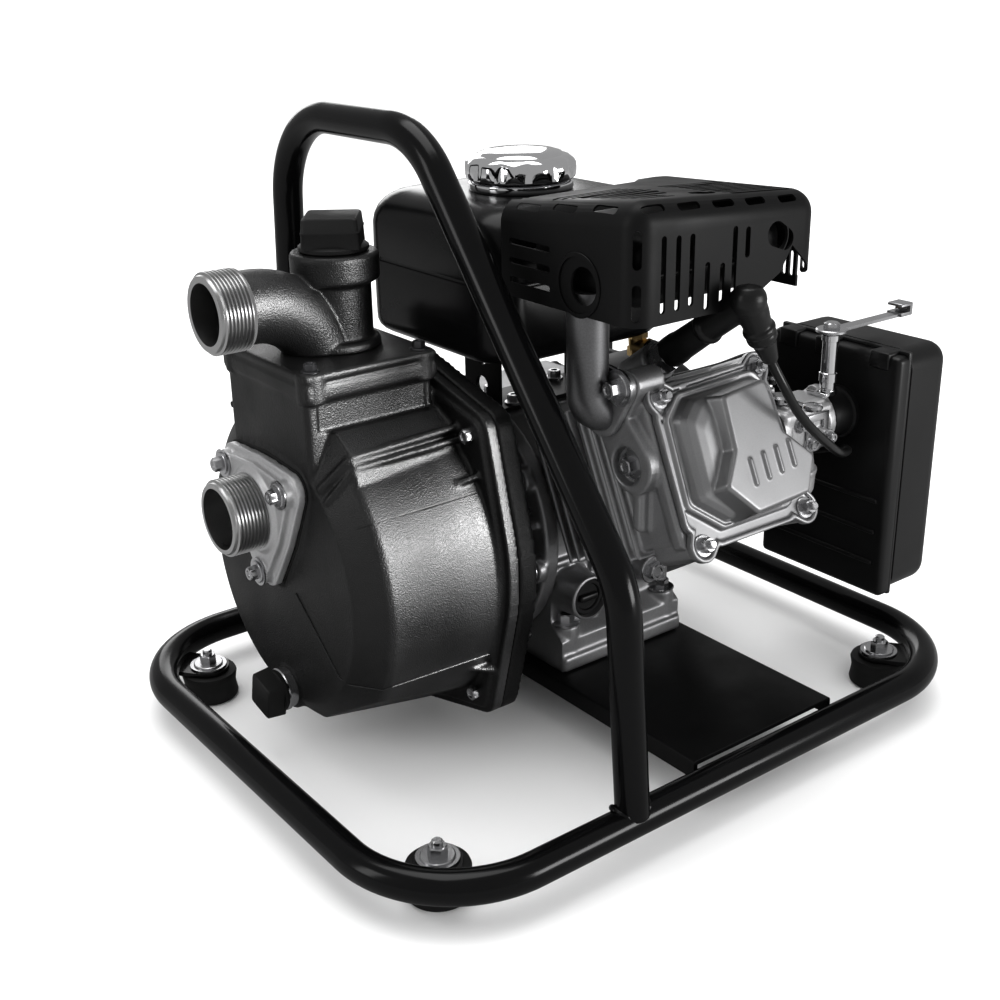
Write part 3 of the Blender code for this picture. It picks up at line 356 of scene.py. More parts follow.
def rounded(corners, radius, steps=8):
    """A closed outline with its corners rounded, by one radius or by one for each corner."""
    outline = []
    count = len(corners)
    for i in range(count):
        corner = Vector(corners[i])
        back = (Vector(corners[i - 1]) - corner).normalized()
        ahead = (Vector(corners[(i + 1) % count]) - corner).normalized()
        own = radius[i] if isinstance(radius, (list, tuple)) else radius
        outline += arc_in_corner(corner, back, ahead, own, steps)
    return [tuple(point) for point in outline]


def bent_path(corners, radius, steps=20):
    path = [Vector(corners[0])]
    for before, corner, after in zip(corners, corners[1:], corners[2:]):
        corner = Vector(corner)
        back = (Vector(before) - corner).normalized()
        ahead = (Vector(after) - corner).normalized()
        path += arc_in_corner(corner, back, ahead, radius, steps)
    path.append(Vector(corners[-1]))
    return path


def sweep(path, radius, closed=False, sides=40):
    """A round tube along a path; the radius can be a function of the point's number."""
    bm = bmesh.new()
    rows = []
    count = len(path)
    normal = None
    for i, point in enumerate(path):
        if closed:
            tangent = path[(i + 1) % count] - path[i - 1]
        else:
            tangent = path[min(i + 1, count - 1)] - path[max(i - 1, 0)]
        tangent.normalize()
        if normal is None:
            normal = tangent.orthogonal().normalized()
        normal = (normal - tangent * normal.dot(tangent)).normalized()
        across = tangent.cross(normal)
        reach = radius(i) if callable(radius) else radius
        row = []
        for k in range(sides):
            turn = 2 * math.pi * k / sides
            row.append(bm.verts.new(point + (normal * math.cos(turn) + across * math.sin(turn)) * reach))
        rows.append(row)
    pairs = list(zip(rows, rows[1:]))
    if closed:
        pairs.append((rows[-1], rows[0]))
    for row, following in pairs:
        for i in range(sides):
            j = (i + 1) % sides
            bm.faces.new((row[i], row[j], following[j], following[i]))
    if not closed:
        bm.faces.new(rows[0])
        bm.faces.new(rows[-1])
    return shape(bm)


def slot_outline(start, end, radius, steps=8):
    start = Vector(start)
    end = Vector(end)
    heading = math.atan2(end.y - start.y, end.x - start.x)
    outline = []
    for middle, offset in ((start, math.pi / 2), (end, -math.pi / 2)):
        for k in range(steps + 1):
            turn = heading + offset + math.pi * k / steps
            outline.append((middle.x + radius * math.cos(turn), middle.y + radius * math.sin(turn)))
    return outline


def hull_outline(circles, steps=48):
    """The outline of a band stretched round circles, each (across, up, radius)."""
    points = []
    for a, b, radius in circles:
        for k in range(steps):
            turn = 2 * math.pi * k / steps
            points.append((a + radius * math.cos(turn), b + radius * math.sin(turn)))
    points.sort()

    def half(ordered):
        chain = []
        for p in ordered:
            while len(chain) > 1:
                (ax, ay), (bx, by) = chain[-2], chain[-1]
                if (bx - ax) * (p[1] - ay) - (by - ay) * (p[0] - ax) > 0:
                    break
                chain.pop()
            chain.append(p)
        return chain[:-1]

    return half(points) + half(points[::-1])


def bake_modifiers(made):
    graph = bpy.context.evaluated_depsgraph_get()
    mesh = bpy.data.meshes.new_from_object(made.evaluated_get(graph))
    made.modifiers.clear()
    made.data = mesh
    return made


def combine(base, add=(), cut=(), overlapping=False):
    """Joins shapes to a shape, then cuts others out of it; they are used up."""
    for tool, operation in [(one, "UNION") for one in add] + [(one, "DIFFERENCE") for one in cut]:
        modifier = base.modifiers.new("combine", "BOOLEAN")
        modifier.operation = operation
        modifier.object = tool
        modifier.solver = "EXACT"
        modifier.use_self = overlapping
    bake_modifiers(base)
    for tool in list(add) + list(cut):
        bpy.data.objects.remove(tool, do_unlink=True)
    return base


def merged(shapes):
    """One object out of several shapes, without joining their volumes."""
    bm = bmesh.new()
    for one in shapes:
        bm.from_mesh(one.data)
        bpy.data.objects.remove(one, do_unlink=True)
    mesh = bpy.data.meshes.new("shape")
    bm.to_mesh(mesh)
    bm.free()
    made = bpy.data.objects.new("shape", mesh)
    bpy.context.scene.collection.objects.link(made)
    return made


def cast(made, voxel, rounds=6):
    """Gives a shape the soft inner and outer corners of a casting."""
    remesh = made.modifiers.new("voxels", "REMESH")
    remesh.mode = "VOXEL"
    remesh.voxel_size = voxel * MM
    soften = made.modifiers.new("soften", "SMOOTH")
    soften.factor = 0.5
    soften.iterations = rounds
    return bake_modifiers(made)


def leaned(made):
    """Moves a shape from the cylinder's own axes (across, up the deck, along the bore) to the engine."""
    made.data.transform(Matrix.Translation(Vector((CYL_X, SHAFT_Y, SHAFT_Z)) * MM) @ LEAN)
    return made


def along_lean(x, deck_up, along):
    """A point given on the cylinder's axes, in the engine's frame."""
    return Vector((CYL_X, SHAFT_Y, SHAFT_Z)) + LEAN.to_3x3() @ Vector((x, deck_up, along))


def turned_about(made, at, axis, degrees):
    """Turns a shape drawn at the origin, and moves it to a point."""
    spin = Matrix.Rotation(math.radians(degrees), 4, axis)
    made.data.transform(Matrix.Translation(Vector(at) * MM) @ spin)
    return made


def spun(made, degrees):
    """Moves a shape drawn above the origin to the shaft line, turned about it."""
    return turned_about(made, (0, SHAFT_Y, SHAFT_Z), "X", degrees)


def round_shaft(radius, degrees):
    """The Y and Z of a point by its distance from the shaft line and its turn round it."""
    turn = math.radians(degrees)
    return SHAFT_Y + radius * math.cos(turn), SHAFT_Z + radius * math.sin(turn)


def box_corners(half_x, half_y):
    return [(-half_x, -half_y), (half_x, -half_y), (half_x, half_y), (-half_x, half_y)]


def box_outline(half_x, half_y, corner_r, steps):
    return rounded(box_corners(half_x, half_y), corner_r, steps)


def piece(name, made, look, stands_for=(), body=ROOT, bevel=0.0, smooth=35.0):
    """Names a finished shape, gives it its look, and sets it on its body in place of the frame's nodes."""
    made.name = name
    made.data.materials.clear()
    made.data.materials.append(LOOKS[look])
    made.data.shade_smooth()
    made.data.set_sharp_from_angle(angle=math.radians(smooth))
    if bevel:
        edges = made.modifiers.new("edges", "BEVEL")
        edges.width = bevel * MM
        edges.segments = 2
        edges.limit_method = "ANGLE"
        edges.angle_limit = math.radians(smooth)
        edges.harden_normals = True
    if body:
        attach(made, body)
    if stands_for:
        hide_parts(*stands_for)
    return made


def hexagon(across):
    """The radius of a hexagon, as a function of the angle."""
    def reach(turn):
        return across / 2 / math.cos((turn + math.pi / 6) % (math.pi / 3) - math.pi / 6)
    return reach


def bolt(at, direction, across=8.0, height=5.0, flange=None, washer=0.0):
    """A flanged hexagon head with a chamfered, dished top, on a washer if it has one."""
    rim = across * 0.8 if flange is None else flange
    hexa = hexagon(across)
    top = washer + 1.2 + height
    profile = []
    if washer:
        profile += [(0, rim * 1.25), (washer, rim * 1.25)]
    profile += [
        (washer, rim), (washer + 0.8, rim), (washer + 1.2, rim * 0.94), (washer + 1.3, hexa),
        (top - 0.7, hexa),
        (top, across / 2 * 0.93), (top, across / 2 * 0.62), (top - 0.7, across / 2 * 0.5), (top - 0.7, 0),
    ]
    return turned(profile, at, direction, 36)


def threaded(start, mouth, radius, bore):
    """A pipe thread along -X from a shoulder to its mouth, with a plain bore through it."""
    length = start - mouth
    turns = int((length - 2.5) / THREAD_PITCH)
    profile = [(0, bore), (0, radius - 0.4)]
    for k in range(turns):
        base = 1.0 + THREAD_PITCH * k
        profile += [
            (base, radius - 1.5), (base + 0.35, radius - 1.5), (base + 1.0, radius), (base + 1.45, radius),
            (base + 2.1, radius - 1.5),
        ]
    profile += [(length - 1.2, radius - 1.5), (length, radius - 2.2), (length, bore)]
    return turned(profile, (start, 0, 0), BACK, 96, hollow=True)


def shifted(made, offset):
    made.data.transform(Matrix.Translation(Vector(offset) * MM))
    return made


# ---------------------------------------------------------------- frame

def build_frame():
    corners = [(-LOOP_X, -LOOP_Y), (LOOP_X, -LOOP_Y), (LOOP_X, LOOP_Y), (-LOOP_X, LOOP_Y)]
    path = [Vector((x, y, TUBE_Z)) for x, y in rounded(corners, LOOP_BEND, 28)]
    loop = sweep(path, TUBE_R, closed=True, sides=48)
    tabs = []
    bolts = []
    tab_top = FOOT_TOP + GAP + TAB_THICK
    stud = [(0, 3.2), (3.6, 3.2), (4.4, 2.4), (4.4, 0)]
    for sx in (-1, 1):
        for sy in (-1, 1):
            x = sx * FOOT_X
            y = sy * FOOT_Y
            outline = slot_outline((x, y), (x + sx * 12, y + sy * 15), 14.0, 16)
            tabs.append(prism(outline, "Z", FOOT_TOP + GAP, tab_top))
            bolts.append(bolt((x, y, tab_top), UP, 10.0, 6.0, 10.0, 1.2))
            bolts.append(turned(stud, (x, y, tab_top + 7.5), UP, 24))
    piece("loop_tube", merged([loop] + tabs), "enamel", ["base_loop"])
    piece("foot_bolts", merged(bolts), "zinc", smooth=25)


def build_feet():
    profile = [
        (0, 0), (0, 16.5), (1.2, 18.2), (3.0, 18.8), (8.0, 18.0), (11.5, 17.6), (15.0, 18.2),
        (18.0, 18.8), (19.6, 18.2), (20.1, 16.0), (20.1, 0),
    ]
    for side_x, sx in (("pump", -1), ("engine", 1)):
        for side_y, sy in (("near", -1), ("far", 1)):
            foot = turned(profile, (sx * FOOT_X, sy * FOOT_Y, 0), UP, 64)
            node = f"rubber_foot_{side_x}_{side_y}"
            piece(f"foot_{side_x}_{side_y}", foot, "rubber", [node])


def build_handle():
    corners = [
        (HANDLE_X, -LOOP_Y, TUBE_Z + 4), (HANDLE_X, -173.1, 166.2), (HANDLE_X, 6.7, HANDLE_TOP),
        (HANDLE_X, 161.5, HANDLE_TOP), (HANDLE_X, LOOP_Y, TUBE_Z + 4),
    ]
    handle = sweep(bent_path(corners, 60.0, 24), TUBE_R, sides=48)
    piece("handle", handle, "enamel", ["handle_tube"])


def build_welds():
    """A rippled bead round each foot of the handle, where it stands on the loop's crown."""
    beads = []
    for sy in (-1, 1):
        path = []
        for k in range(72):
            turn = 2 * math.pi * k / 72
            across = 10.6 * math.sin(turn)
            rise = math.sqrt(max(10.5 ** 2 - across ** 2, 0.0)) * 0.98
            x = HANDLE_X + 10.6 * math.cos(turn)
            y = sy * (LOOP_Y - 1.8) + across * 0.9
            path.append(Vector((x, y, TUBE_Z + rise)))
        beads.append(sweep(path, lambda i: 1.7 + 0.35 * math.cos(i * math.pi * 2 / 4), closed=True, sides=12))
    piece("weld_beads", merged(beads), "enamel")


def build_plate():
    x0, x1 = PLATE_X
    z0, z1 = PLATE_Z
    outline = [
        (x0, z0 - 9), (x0, z1 - 2.2), (x0 + 0.8, z1 - 0.6), (x0 + 2.4, z1),
        (x1 - 2.4, z1), (x1 - 0.8, z1 - 0.6), (x1, z1 - 2.2),
        (x1, z0 - 9), (x1 - 3, z0 - 9), (x1 - 3, z0), (x0 + 3, z0), (x0 + 3, z0 - 9),
    ]
    plate = prism(outline, "Y", -LOOP_Y + TUBE_R + 0.4, LOOP_Y - TUBE_R - 0.4)
    piece("mounting_plate", plate, "satin_paint", ["base_plate"], bevel=0.3)
    bolts = []
    for x in (-8, 78):
        for y, z in ((-33.5, 67.2), (121.5, 61.2)):
            bolts.append(bolt((x, y, z), UP, 10.0, 6.0, 9.5))
    piece("engine_foot_bolts", merged(bolts), "zinc", smooth=25)


# ---------------------------------------------------------------- pump

def lobe_centres():
    reach = FLANGE_R * math.sqrt(0.5)
    return [(FLANGE_Y + sy * reach, FLANGE_Z + sz * reach) for sy in (-1, 1) for sz in (-1, 1)]


def flange_outline(lobe_r, disc_r):
    """The rear flange: a disc drawn out to its four bolt lobes."""
    circles = [(FLANGE_Y, FLANGE_Z, disc_r)]
    for y, z in lobe_centres():
        circles.append((y, z, lobe_r))
    return hull_outline(circles, 96)


def casing_wedge(degrees):
    """A cutter that gives the lower half of the drum its draft, facing one way round the shaft line."""
    wedge = prism([(-190, 92.5), (-165, 96.0), (-86.5, 107.5), (-86.5, 150), (-190, 150)], "Y", -90, 90)
    return spun(wedge, degrees - 90)


def on_drum(x, radius, degrees):
    """A point by its place along the shaft line, its distance from it and its turn round it."""
    return Vector((x, *round_shaft(radius, degrees)))


def casing_drum():
    profile = [(0, 86), (1.5, 89), (12.5, 105), (16, 107), (89, DRUM_R)]
    drum = turned(profile, (CASE_FRONT, SHAFT_Y, SHAFT_Z), ALONG, 160)
    return combine(drum, cut=[casing_wedge(turn) for turn in (-122, -90, -58)])


def casing_flange():
    """The rear flange with its step and the four webs that brace it."""
    flange = prism(flange_outline(LOBE_R, FLANGE_R - 2), "X", *CASE_FLANGE)
    step = prism(flange_outline(LOBE_R - 5, FLANGE_R - 8), "X", CASE_FLANGE[0] - 2.5, CASE_FLANGE[0] + 1)
    webs = []
    for turn in (143, -150, 45, -45):
        web = prism([(-83, 100), (-104, 100), (-102, 109.5), (-83, 119)], "Y", -1.6, 1.6)
        webs.append(spun(web, turn - 90))
    return [flange, step] + webs


def casing_tower():
    """The neck under the outlet, with its banded lid."""
    tower = block((CASE_FRONT, -5, 150), (-88, 93, 252), 4.0)
    band = block((CASE_FRONT - 1, -8, 247.5), (-86, 96, 257.5), 2.0)
    groove = block((CASE_FRONT + 0.5, -6.5, 255), (-87.5, 94.5, 261), 1.0)
    lid = block((CASE_FRONT - 1, -8, 259), (-86, 96, TOWER_TOP), 1.8)
    bosses = [rod((x, y, 246), (x, y, LID_SEAT), 8.8) for x, y in LID_CORNERS]
    return [tower, band, groove, lid] + bosses


def casing_ledge():
    """The shoulder between drum and tower; its front end leans back with the drum."""
    outline = [(-3, 230), (-8, 228.5), (-25, 219), (-31.5, 203), (20, 190), (20, 230)]
    rings = []
    for x, inward in ((-173.5, 0.22), (-160, 0), (-83, 0)):
        ring = []
        for y, z in outline:
            ring.append(Vector((x, y + (SHAFT_Y - y) * inward, z + (SHAFT_Z - z) * inward)))
        rings.append(ring)
    return loft(rings)


def casing_ridges():
    upper = bent_path([(-82, -27, 220.5), (-160, -24.4, 216.4), (-174.2, -11, 196)], 5.0, 6)
    second = bent_path([(-82, -31, 214.2), (-159.5, -27, 210.6), (-173.5, -17, 190)], 5.0, 6)
    far = [Vector((-85, 110.5, 216.8)), Vector((-166, 110.5, 216.8))]
    return [sweep(upper, 2.4, sides=16), sweep(second, 2.0, sides=16), sweep(far, 2.4, sides=16)]


def casing_rooms():
    """What is cut out of the casing: its chamber, its openings and the parting line."""
    chamber = turned([(0, 70), (22, 90), (95, 98)], (CASE_FRONT + 10, SHAFT_Y, SHAFT_Z), ALONG, 72)
    inlet = disc((CASE_FRONT - 5, CASE_FRONT + 14), 26, INLET_Y, INLET_Z)
    drain = disc((-180, -130), 9, z=DRAIN_Z, sides=48)
    outlet = rod((NECK_X, NECK_Y, TOWER_TOP - 20), (NECK_X, NECK_Y, TOWER_TOP + 5), 18)
    riser = block((CASE_FRONT + 10, 5, 140), (-97, 83, TOWER_TOP - 16), 4.0)
    line = [(-89.7, 110.2), (-160, 107.5), (-178, 86)]
    seam = sweep([on_drum(x, radius, SEAM_TURN) for x, radius in line], 0.65, sides=12)
    return [chamber, riser, inlet, drain, outlet, seam]


def casing_mould_line():
    """The raised line that runs down the front and back along the lower side."""
    corners = [(-175.1, 25.5, 117.5), (-175.1, -22, 78.7)]
    line = ((-173.2, 89.4, -147), (-162, 105.4, -153), (-158, 107.4, -155), (-88, 109.8, -155))
    for x, radius, turn in line:
        corners.append(on_drum(x, radius, turn))
    return sweep(bent_path(corners, 2.0, 4), 0.75, sides=12)


def build_casing():
    drain_boss = turned([(0, 13.5), (1, 15), (30, 16.5)], (-176, SHAFT_Y, DRAIN_Z), ALONG)
    pad = prism(hull_outline(suction_circles(37.5, 12.5)), "X", -176.6, -150)
    add = casing_flange() + casing_tower() + [casing_ledge(), drain_boss, pad] + casing_ridges()
    panel_recess = block((CASE_FRONT + 7, -9, 228), (-93, -3.4, 246), 1.2)
    casing = cast(combine(casing_drum(), add, [panel_recess]), 1.15, 3)
    casing = merged([combine(casing, cut=casing_rooms()), casing_mould_line()])
    piece("casing", casing, "textured_paint", ["pump_casing"], smooth=70)

    bolts = [bolt((CASE_FLANGE[0], y, z), BACK, 8.0, 5.5, 7.0, 1.0) for y, z in lobe_centres()]
    piece("casing_bolts", merged(bolts), "zinc", smooth=25)
    bolts = [bolt((x, y, LID_SEAT), UP, 7.0, 4.0, 5.5) for x, y in LID_CORNERS]
    piece("lid_bolts", merged(bolts), "dark_steel", smooth=25)


def build_bracket():
    bracket = prism(flange_outline(LOBE_R, FLANGE_R - 1), "X", *BRACKET)
    neck = turned([(0, 60), (6, 55), (19, 52), (21.1, 52)], (BRACKET[1] - 1, SHAFT_Y, SHAFT_Z), ALONG)
    ribs = []
    for k in range(8):
        rib = block((BRACKET[1] - 1, -2.5, 40), (BRACKET[1] + 9, 2.5, 112), 1.0, 1)
        ribs.append(spun(rib, 22.5 + 45 * k))
    seal_seat = disc((BRACKET[0] - 1, BRACKET[0] + 30), 21.8)
    socket = disc((-58, -40), 36)
    made = cast(combine(bracket, [neck] + ribs, [seal_seat, socket]), 1.5, 3)
    piece("bracket", made, "textured_paint", ["pump_bracket"], smooth=80)


def suction_circles(disc_r, ear_r):
    """The three-eared outline of the suction flange, as circles for hull_outline."""
    circles = [(INLET_Y, INLET_Z, disc_r)]
    for k in range(3):
        turn = math.radians(-90 + 120 * k)
        y = INLET_Y + BOLT_CIRCLE * math.cos(turn)
        z = INLET_Z + BOLT_CIRCLE * math.sin(turn)
        circles.append((y, z, ear_r))
    return circles


def build_suction():
    foot = prism(hull_outline(suction_circles(34, 11.5)), "X", -182, CASE_FRONT - 1.8)
    step = prism(hull_outline(suction_circles(30, 6.5)), "X", -187, -181)
    spots = [disc((-188.2, -180), 8.6, y, z, 48) for y, z, _ in suction_circles(0, 0)[1:]]
    boss = turned([(0, 25), (1.5, 26.5), (4, 29)], (-190, INLET_Y, INLET_Z), ALONG)
    bore = disc((-200, CASE_FRONT), 19, INLET_Y, INLET_Z)
    body = cast(combine(foot, [step, boss] + spots, [bore]), 0.8, 4)
    piece("suction_body", body, "cast_alu", ["suction_flange"], smooth=80)
    pipe = shifted(threaded(-188.5, INLET_MOUTH, THREAD_R, 19.0), (0, INLET_Y, INLET_Z))
    piece("suction_thread", pipe, "thread_alu", smooth=50)
    gasket = prism(hull_outline(suction_circles(36, 12.6)), "X", CASE_FRONT - 1.8, CASE_FRONT - 1.4)
    gasket = combine(gasket, cut=[disc((-178, -170), 20, INLET_Y, INLET_Z)])
    piece("suction_seal", gasket, "rubber", ["suction_gasket"])
    bolts = [bolt((-188.2, y, z), BACK, 8.0, 5.2, 7.2, 1.0) for y, z, _ in suction_circles(0, 0)[1:]]
    piece("suction_bolts", merged(bolts), "zinc", smooth=25)


def build_outlet():
    base = turned([(0, 27), (3.5, 27), (5.5, 25.5)], (NECK_X - 2, NECK_Y, TOWER_TOP + 0.3), UP, 96)
    neck = rod((NECK_X, NECK_Y, TOWER_TOP + 2), (NECK_X, NECK_Y, COLLAR_TOP - 6), NECK_R - 1.5)
    collar = turned(
        [(0, NECK_R - 1.5), (2.5, 26.0), (4, 26.5), (17, 26.5), (19, 25.0)],
        (NECK_X, NECK_Y, COLLAR_TOP - 19), UP, 96)
    leg_x = NECK_X - BEND_AHEAD
    mouth_x = OUTLET_MOUTH + 18
    corners = [(leg_x, NECK_Y, TOWER_TOP - 26), (leg_x, NECK_Y, OUTLET_Z), (mouth_x, NECK_Y, OUTLET_Z)]
    bend = sweep(bent_path(corners, BEND_R, 20), PIPE_R, sides=72)
    fill_bore = rod((NECK_X, NECK_Y, TOWER_TOP), (NECK_X, NECK_Y, COLLAR_TOP + 2), 17)
    flow = sweep(bent_path(corners, BEND_R, 12), 17.0, sides=48)
    mouth = disc((OUTLET_MOUTH + 10, OUTLET_MOUTH + 22), 17, NECK_Y, OUTLET_Z)
    below = block((-200, -20, 200), (-60, 100, TOWER_TOP + 0.3))
    elbow = cast(combine(base, [neck, collar, bend], [below]), 0.9, 4)
    elbow = combine(elbow, cut=[fill_bore, flow, mouth])
    piece("elbow", elbow, "textured_paint", ["outlet_elbow"], smooth=80)
    pipe = shifted(threaded(OUTLET_MOUTH + 21, OUTLET_MOUTH, THREAD_R, 18.0), (0, NECK_Y, OUTLET_Z))
    piece("outlet_thread", pipe, "thread_alu", ["outlet_nipple"], smooth=50)


def build_priming_plug():
    levels = [(3.0, 17.4), (11.5, 17.0), (12.0, 17.3), (13.0, 17.3), (13.5, 16.9), (20.0, 16.3), (21.0, 15.3)]
    plug = loft([[Vector((x, y, z)) for x, y in box_outline(h, h, 2.5, 4)] for z, h in levels])
    washer = turned([(0.3, 20), (1, 21), (3, 21), (4.2, 19.5)], (0, 0, 0), UP, 64)
    stem = rod((0, 0, -14), (0, 0, 2), 16.6)
    plug = merged([plug, washer, stem])
    plug = turned_about(plug, (NECK_X, NECK_Y, COLLAR_TOP), "Z", PLUG_TURN)
    piece("priming_cap", plug, "rubber", ["fill_plug"], body="priming_plug", smooth=40)


def build_drain_plug():
    levels = [(-197, 10.4), (-196.2, 11.2), (-188, 11.8), (-184.5, 12)]
    head = loft([[Vector((x, y, z)) for y, z in box_outline(h, h, 2.0, 4)] for x, h in levels])
    head = turned_about(head, (0, SHAFT_Y, DRAIN_Z), "X", DRAIN_TURN)
    rim = turned([(0, 12.6), (0.6, 13.8), (2.6, 13.8), (3.2, 13)], (-186, SHAFT_Y, DRAIN_Z), ALONG)
    stem = disc((-183.5, -166), 8.6, z=DRAIN_Z)
    piece("drain_cap", merged([head, rim, stem]), "rubber", ["drain_plug"], body="drain", smooth=40)
    profile = [(0, 10), (0, 13.2), (0.8, 14.0), (2.4, 14.0), (2.9, 13.0), (6.6, 13.0), (6.6, 10)]
    sleeve = turned(profile, (-182.7, SHAFT_Y, DRAIN_Z), ALONG, 64, hollow=True)
    piece("drain_ring", sleeve, "zinc", body="drain")


# ---------------------------------------------------------------- engine

def crankcase_outside():
    outline = [
        (-42, 35.9), (130, 35.9), (130, 56), (118, 62), (118, 186), (104, CASE_TOP), (16, CASE_TOP),
        (-10, 180), (-30, 140), (-30, 68), (-36, 63), (-42, 58),
    ]
    case = prism(outline, "X", *CASE_X)
    parts = [leaned(rod((0, 0, 40), (0, 0, DECK), 40))]
    for k in range(5):
        along = 90 + 8.5 * k
        parts.append(leaned(block((-48, -46, along), (48, 46, along + 3), 1.2)))
    parts.append(leaned(block((-49, -47, DECK - 4), (49, 47, DECK), 1.5)))
    parts.append(rod((FILLER_X, -20, FILLER_Z), (FILLER_X, -52, FILLER_Z), 15.4))
    parts.append(rod((FILLER_X, -20, FILLER_Z), (FILLER_X, -42, FILLER_Z), 18, end_radius=15.4))
    for x in (-8, 78):
        parts.append(rod((x, -33.5, 40), (x, -33.5, 67), 9))
        parts.append(rod((x, 121.5, 40), (x, 121.5, 61), 9))
    parts.append(block((-17.8, -45, 36.2), (87.8, -38, 47), 2.0))
    parts.append(block((14, -34.5, 60), (20, -29, 134), 2.0))
    parts.append(block((44, -34, 60), (49, -29, 130), 2.0))
    parts.append(block((-17, -33.5, 108), (87, -29, 113), 1.8))
    parts.append(rod((62, -29, 88), (62, -41, 88), 11, end_radius=9.5))
    parts.append(rod((34, -29, 124), (34, -39, 124), 8))
    for y, z in ((118, 80), (118, 120), (118, 160)):
        parts.append(block((-14, y - 1, z), (84, y + 4, z + 4), 1.5))
    return cast(combine(case, parts), 1.2, 3)


def crankcase_rooms():
    chamber = disc((CASE_X[0] - 1, 74), 52)
    gear_room = disc((CASE_X[0] - 1, 14), 31, CAM_Y, CAM_Z)
    cam_end = disc((70, 82), 6.3, CAM_Y, CAM_Z, 24)
    bearing_seat = disc((73, 85.7), 20.3)
    shaft_hole = disc((84, 90), 10.6)
    bore = leaned(rod((0, 0, 20), (0, 0, 140), 28.2))
    filler_bore = rod((FILLER_X, -53, FILLER_Z), (FILLER_X, -37, FILLER_Z), 13.4)
    filler_depth = rod((FILLER_X, -38, FILLER_Z), (FILLER_X, -30, FILLER_Z), 9)
    return [chamber, gear_room, cam_end, bearing_seat, shaft_hole, bore, filler_bore, filler_depth]


def build_crankcase():
    case = combine(crankcase_outside(), cut=crankcase_rooms())
    piece("crank_housing", case, "engine_alu", ["crankcase"], smooth=60)


def build_oil_filler():
    plug = turned(
        [(0, 0), (0, 8.4), (12, 8.4), (12, 12.8), (14.5, 12.8), (15.5, 11.8), (15.5, 9.5), (14.2, 8.8),
         (14.2, 0)],
        (FILLER_X, -34, FILLER_Z), NEAR, 64)
    grip = block((-9.5, -51.5, 87.6), (5.5, -46, 92.4), 1.6, 3)
    piece("filler_cap", merged([plug, grip]), "plastic", ["oil_filler_plug"], body="oil_plug", smooth=40)


def build_side_cover():
    cover = turned([(0, 82), (1.5, 84), (11.7, 84)], (-30, SHAFT_Y, SHAFT_Z), ALONG, 128)
    parts = [turned([(0, 47), (1.5, 50), (12, 50), (15.3, 58)], (-44.3, SHAFT_Y, SHAFT_Z), ALONG, 96)]
    spots = [round_shaft(78, 10 + 45 * k) for k in range(8)]
    for k, (y, z) in enumerate(spots):
        parts.append(disc((-36, -29), 8.5, y, z, 48))
        rib = block((-39, -2, 48), (-29, 2, 80), 0.8)
        parts.append(spun(rib, 45 * k - 57.5))
    cover = cast(combine(cover, parts), 1.3, 3)
    bearing_pocket = disc((-39, CASE_X[0] + 1), 20.3)
    shaft_hole = disc((-46, -38), 10.6)
    cam_hole = disc((-26, CASE_X[0] + 1), 6.3, CAM_Y, CAM_Z, 24)
    cover = combine(cover, cut=[bearing_pocket, shaft_hole, cam_hole])
    piece("end_cover", cover, "engine_alu", ["side_cover"], smooth=60)
    bolts = [bolt((-36, y, z), BACK, 8.0, 5.0) for y, z in spots]
    bolts.append(bolt((34, -39, 124), NEAR, 8.0, 5.0))
    bolts.append(bolt((62, -41, 88), NEAR, 12.0, 6.0))
    piece("crankcase_bolts", merged(bolts), "zinc", smooth=25)


def build_head():
    body = leaned(block((-46, -46, HEAD[0]), (46, 46, HEAD[1]), 4.0))
    parts = []
    for k in range(3):
        parts.append(leaned(block((-50, -50, 140.5 + 9 * k), (50, 50, 144 + 9 * k), 1.2)))
    parts.append(leaned(block((-47.5, -48, 190), (48.5, 46.5, HEAD[1]), 2.0)))
    for x, y in COVER_BOLTS:
        parts.append(leaned(rod((x, y, 170), (x, y, HEAD[1]), 8.5)))
    parts.append(rod((60, PORT_Y, PORT_Z), (80, PORT_Y, PORT_Z), 18))
    parts.append(prism(hull_outline([(*EXHAUST, 17), (-115, 255, 9)]), "X", -30.9, -10))
    lobe = prism(hull_outline([(*EXHAUST, 12), (-119, 208, 17)]), "X", -31.5, -12)
    pocket = rod((-34, -115.5, 207), (-25, -115.5, 207), 11.5)
    parts.append(combine(lobe, cut=[pocket]))
    parts.append(block((-30, -128, 168), (-18, -119, 200), 2.5))
    parts.append(rod(*plug_line(-26, 2), 12))
    head = cast(combine(body, parts), 1.0, 3)
    rocker_room = leaned(block((-34, -38, 168), (34, 34, HEAD[1] + 2)))
    squish = leaned(rod((0, 0, HEAD[0] - 1), (0, 0, HEAD[0] + 5), 27))
    intake_bore = rod((58, PORT_Y, PORT_Z), (82, PORT_Y, PORT_Z), 10)
    exhaust_bore = rod((-34, *EXHAUST), (-12, *EXHAUST), 10)
    plug_hole = rod(*plug_line(-14, 4), 7.3)
    head = combine(head, cut=[rocker_room, squish, intake_bore, exhaust_bore, plug_hole])
    piece("head_casting", head, "engine_alu", ["cylinder_head"], smooth=60)

    bolts = [
        bolt((-36.3, -114.5, 255), BACK, 9.0, 7.0, 8.6, 1.4),
        bolt((-25, -116.5, 207.5), BACK, 9.0, 6.5, 8.6, 1.4),
    ]
    piece("exhaust_bolts", merged(bolts), "zinc", smooth=25)


def cover_outline(inset):
    """The valve cover's rim on the cylinder's axes, drawn in by an inset."""
    corners = [(-45, 29), (-31, 43), (34, 46), (48, 31), (51, -37), (39, -53), (-24, -53), (-46, -38)]
    middle = Vector((2.5, -4.0))
    drawn = []
    for corner in corners:
        offset = Vector(corner) - middle
        drawn.append(middle + offset * (1 - inset / offset.length))
    return rounded(drawn, 7.0, 8)


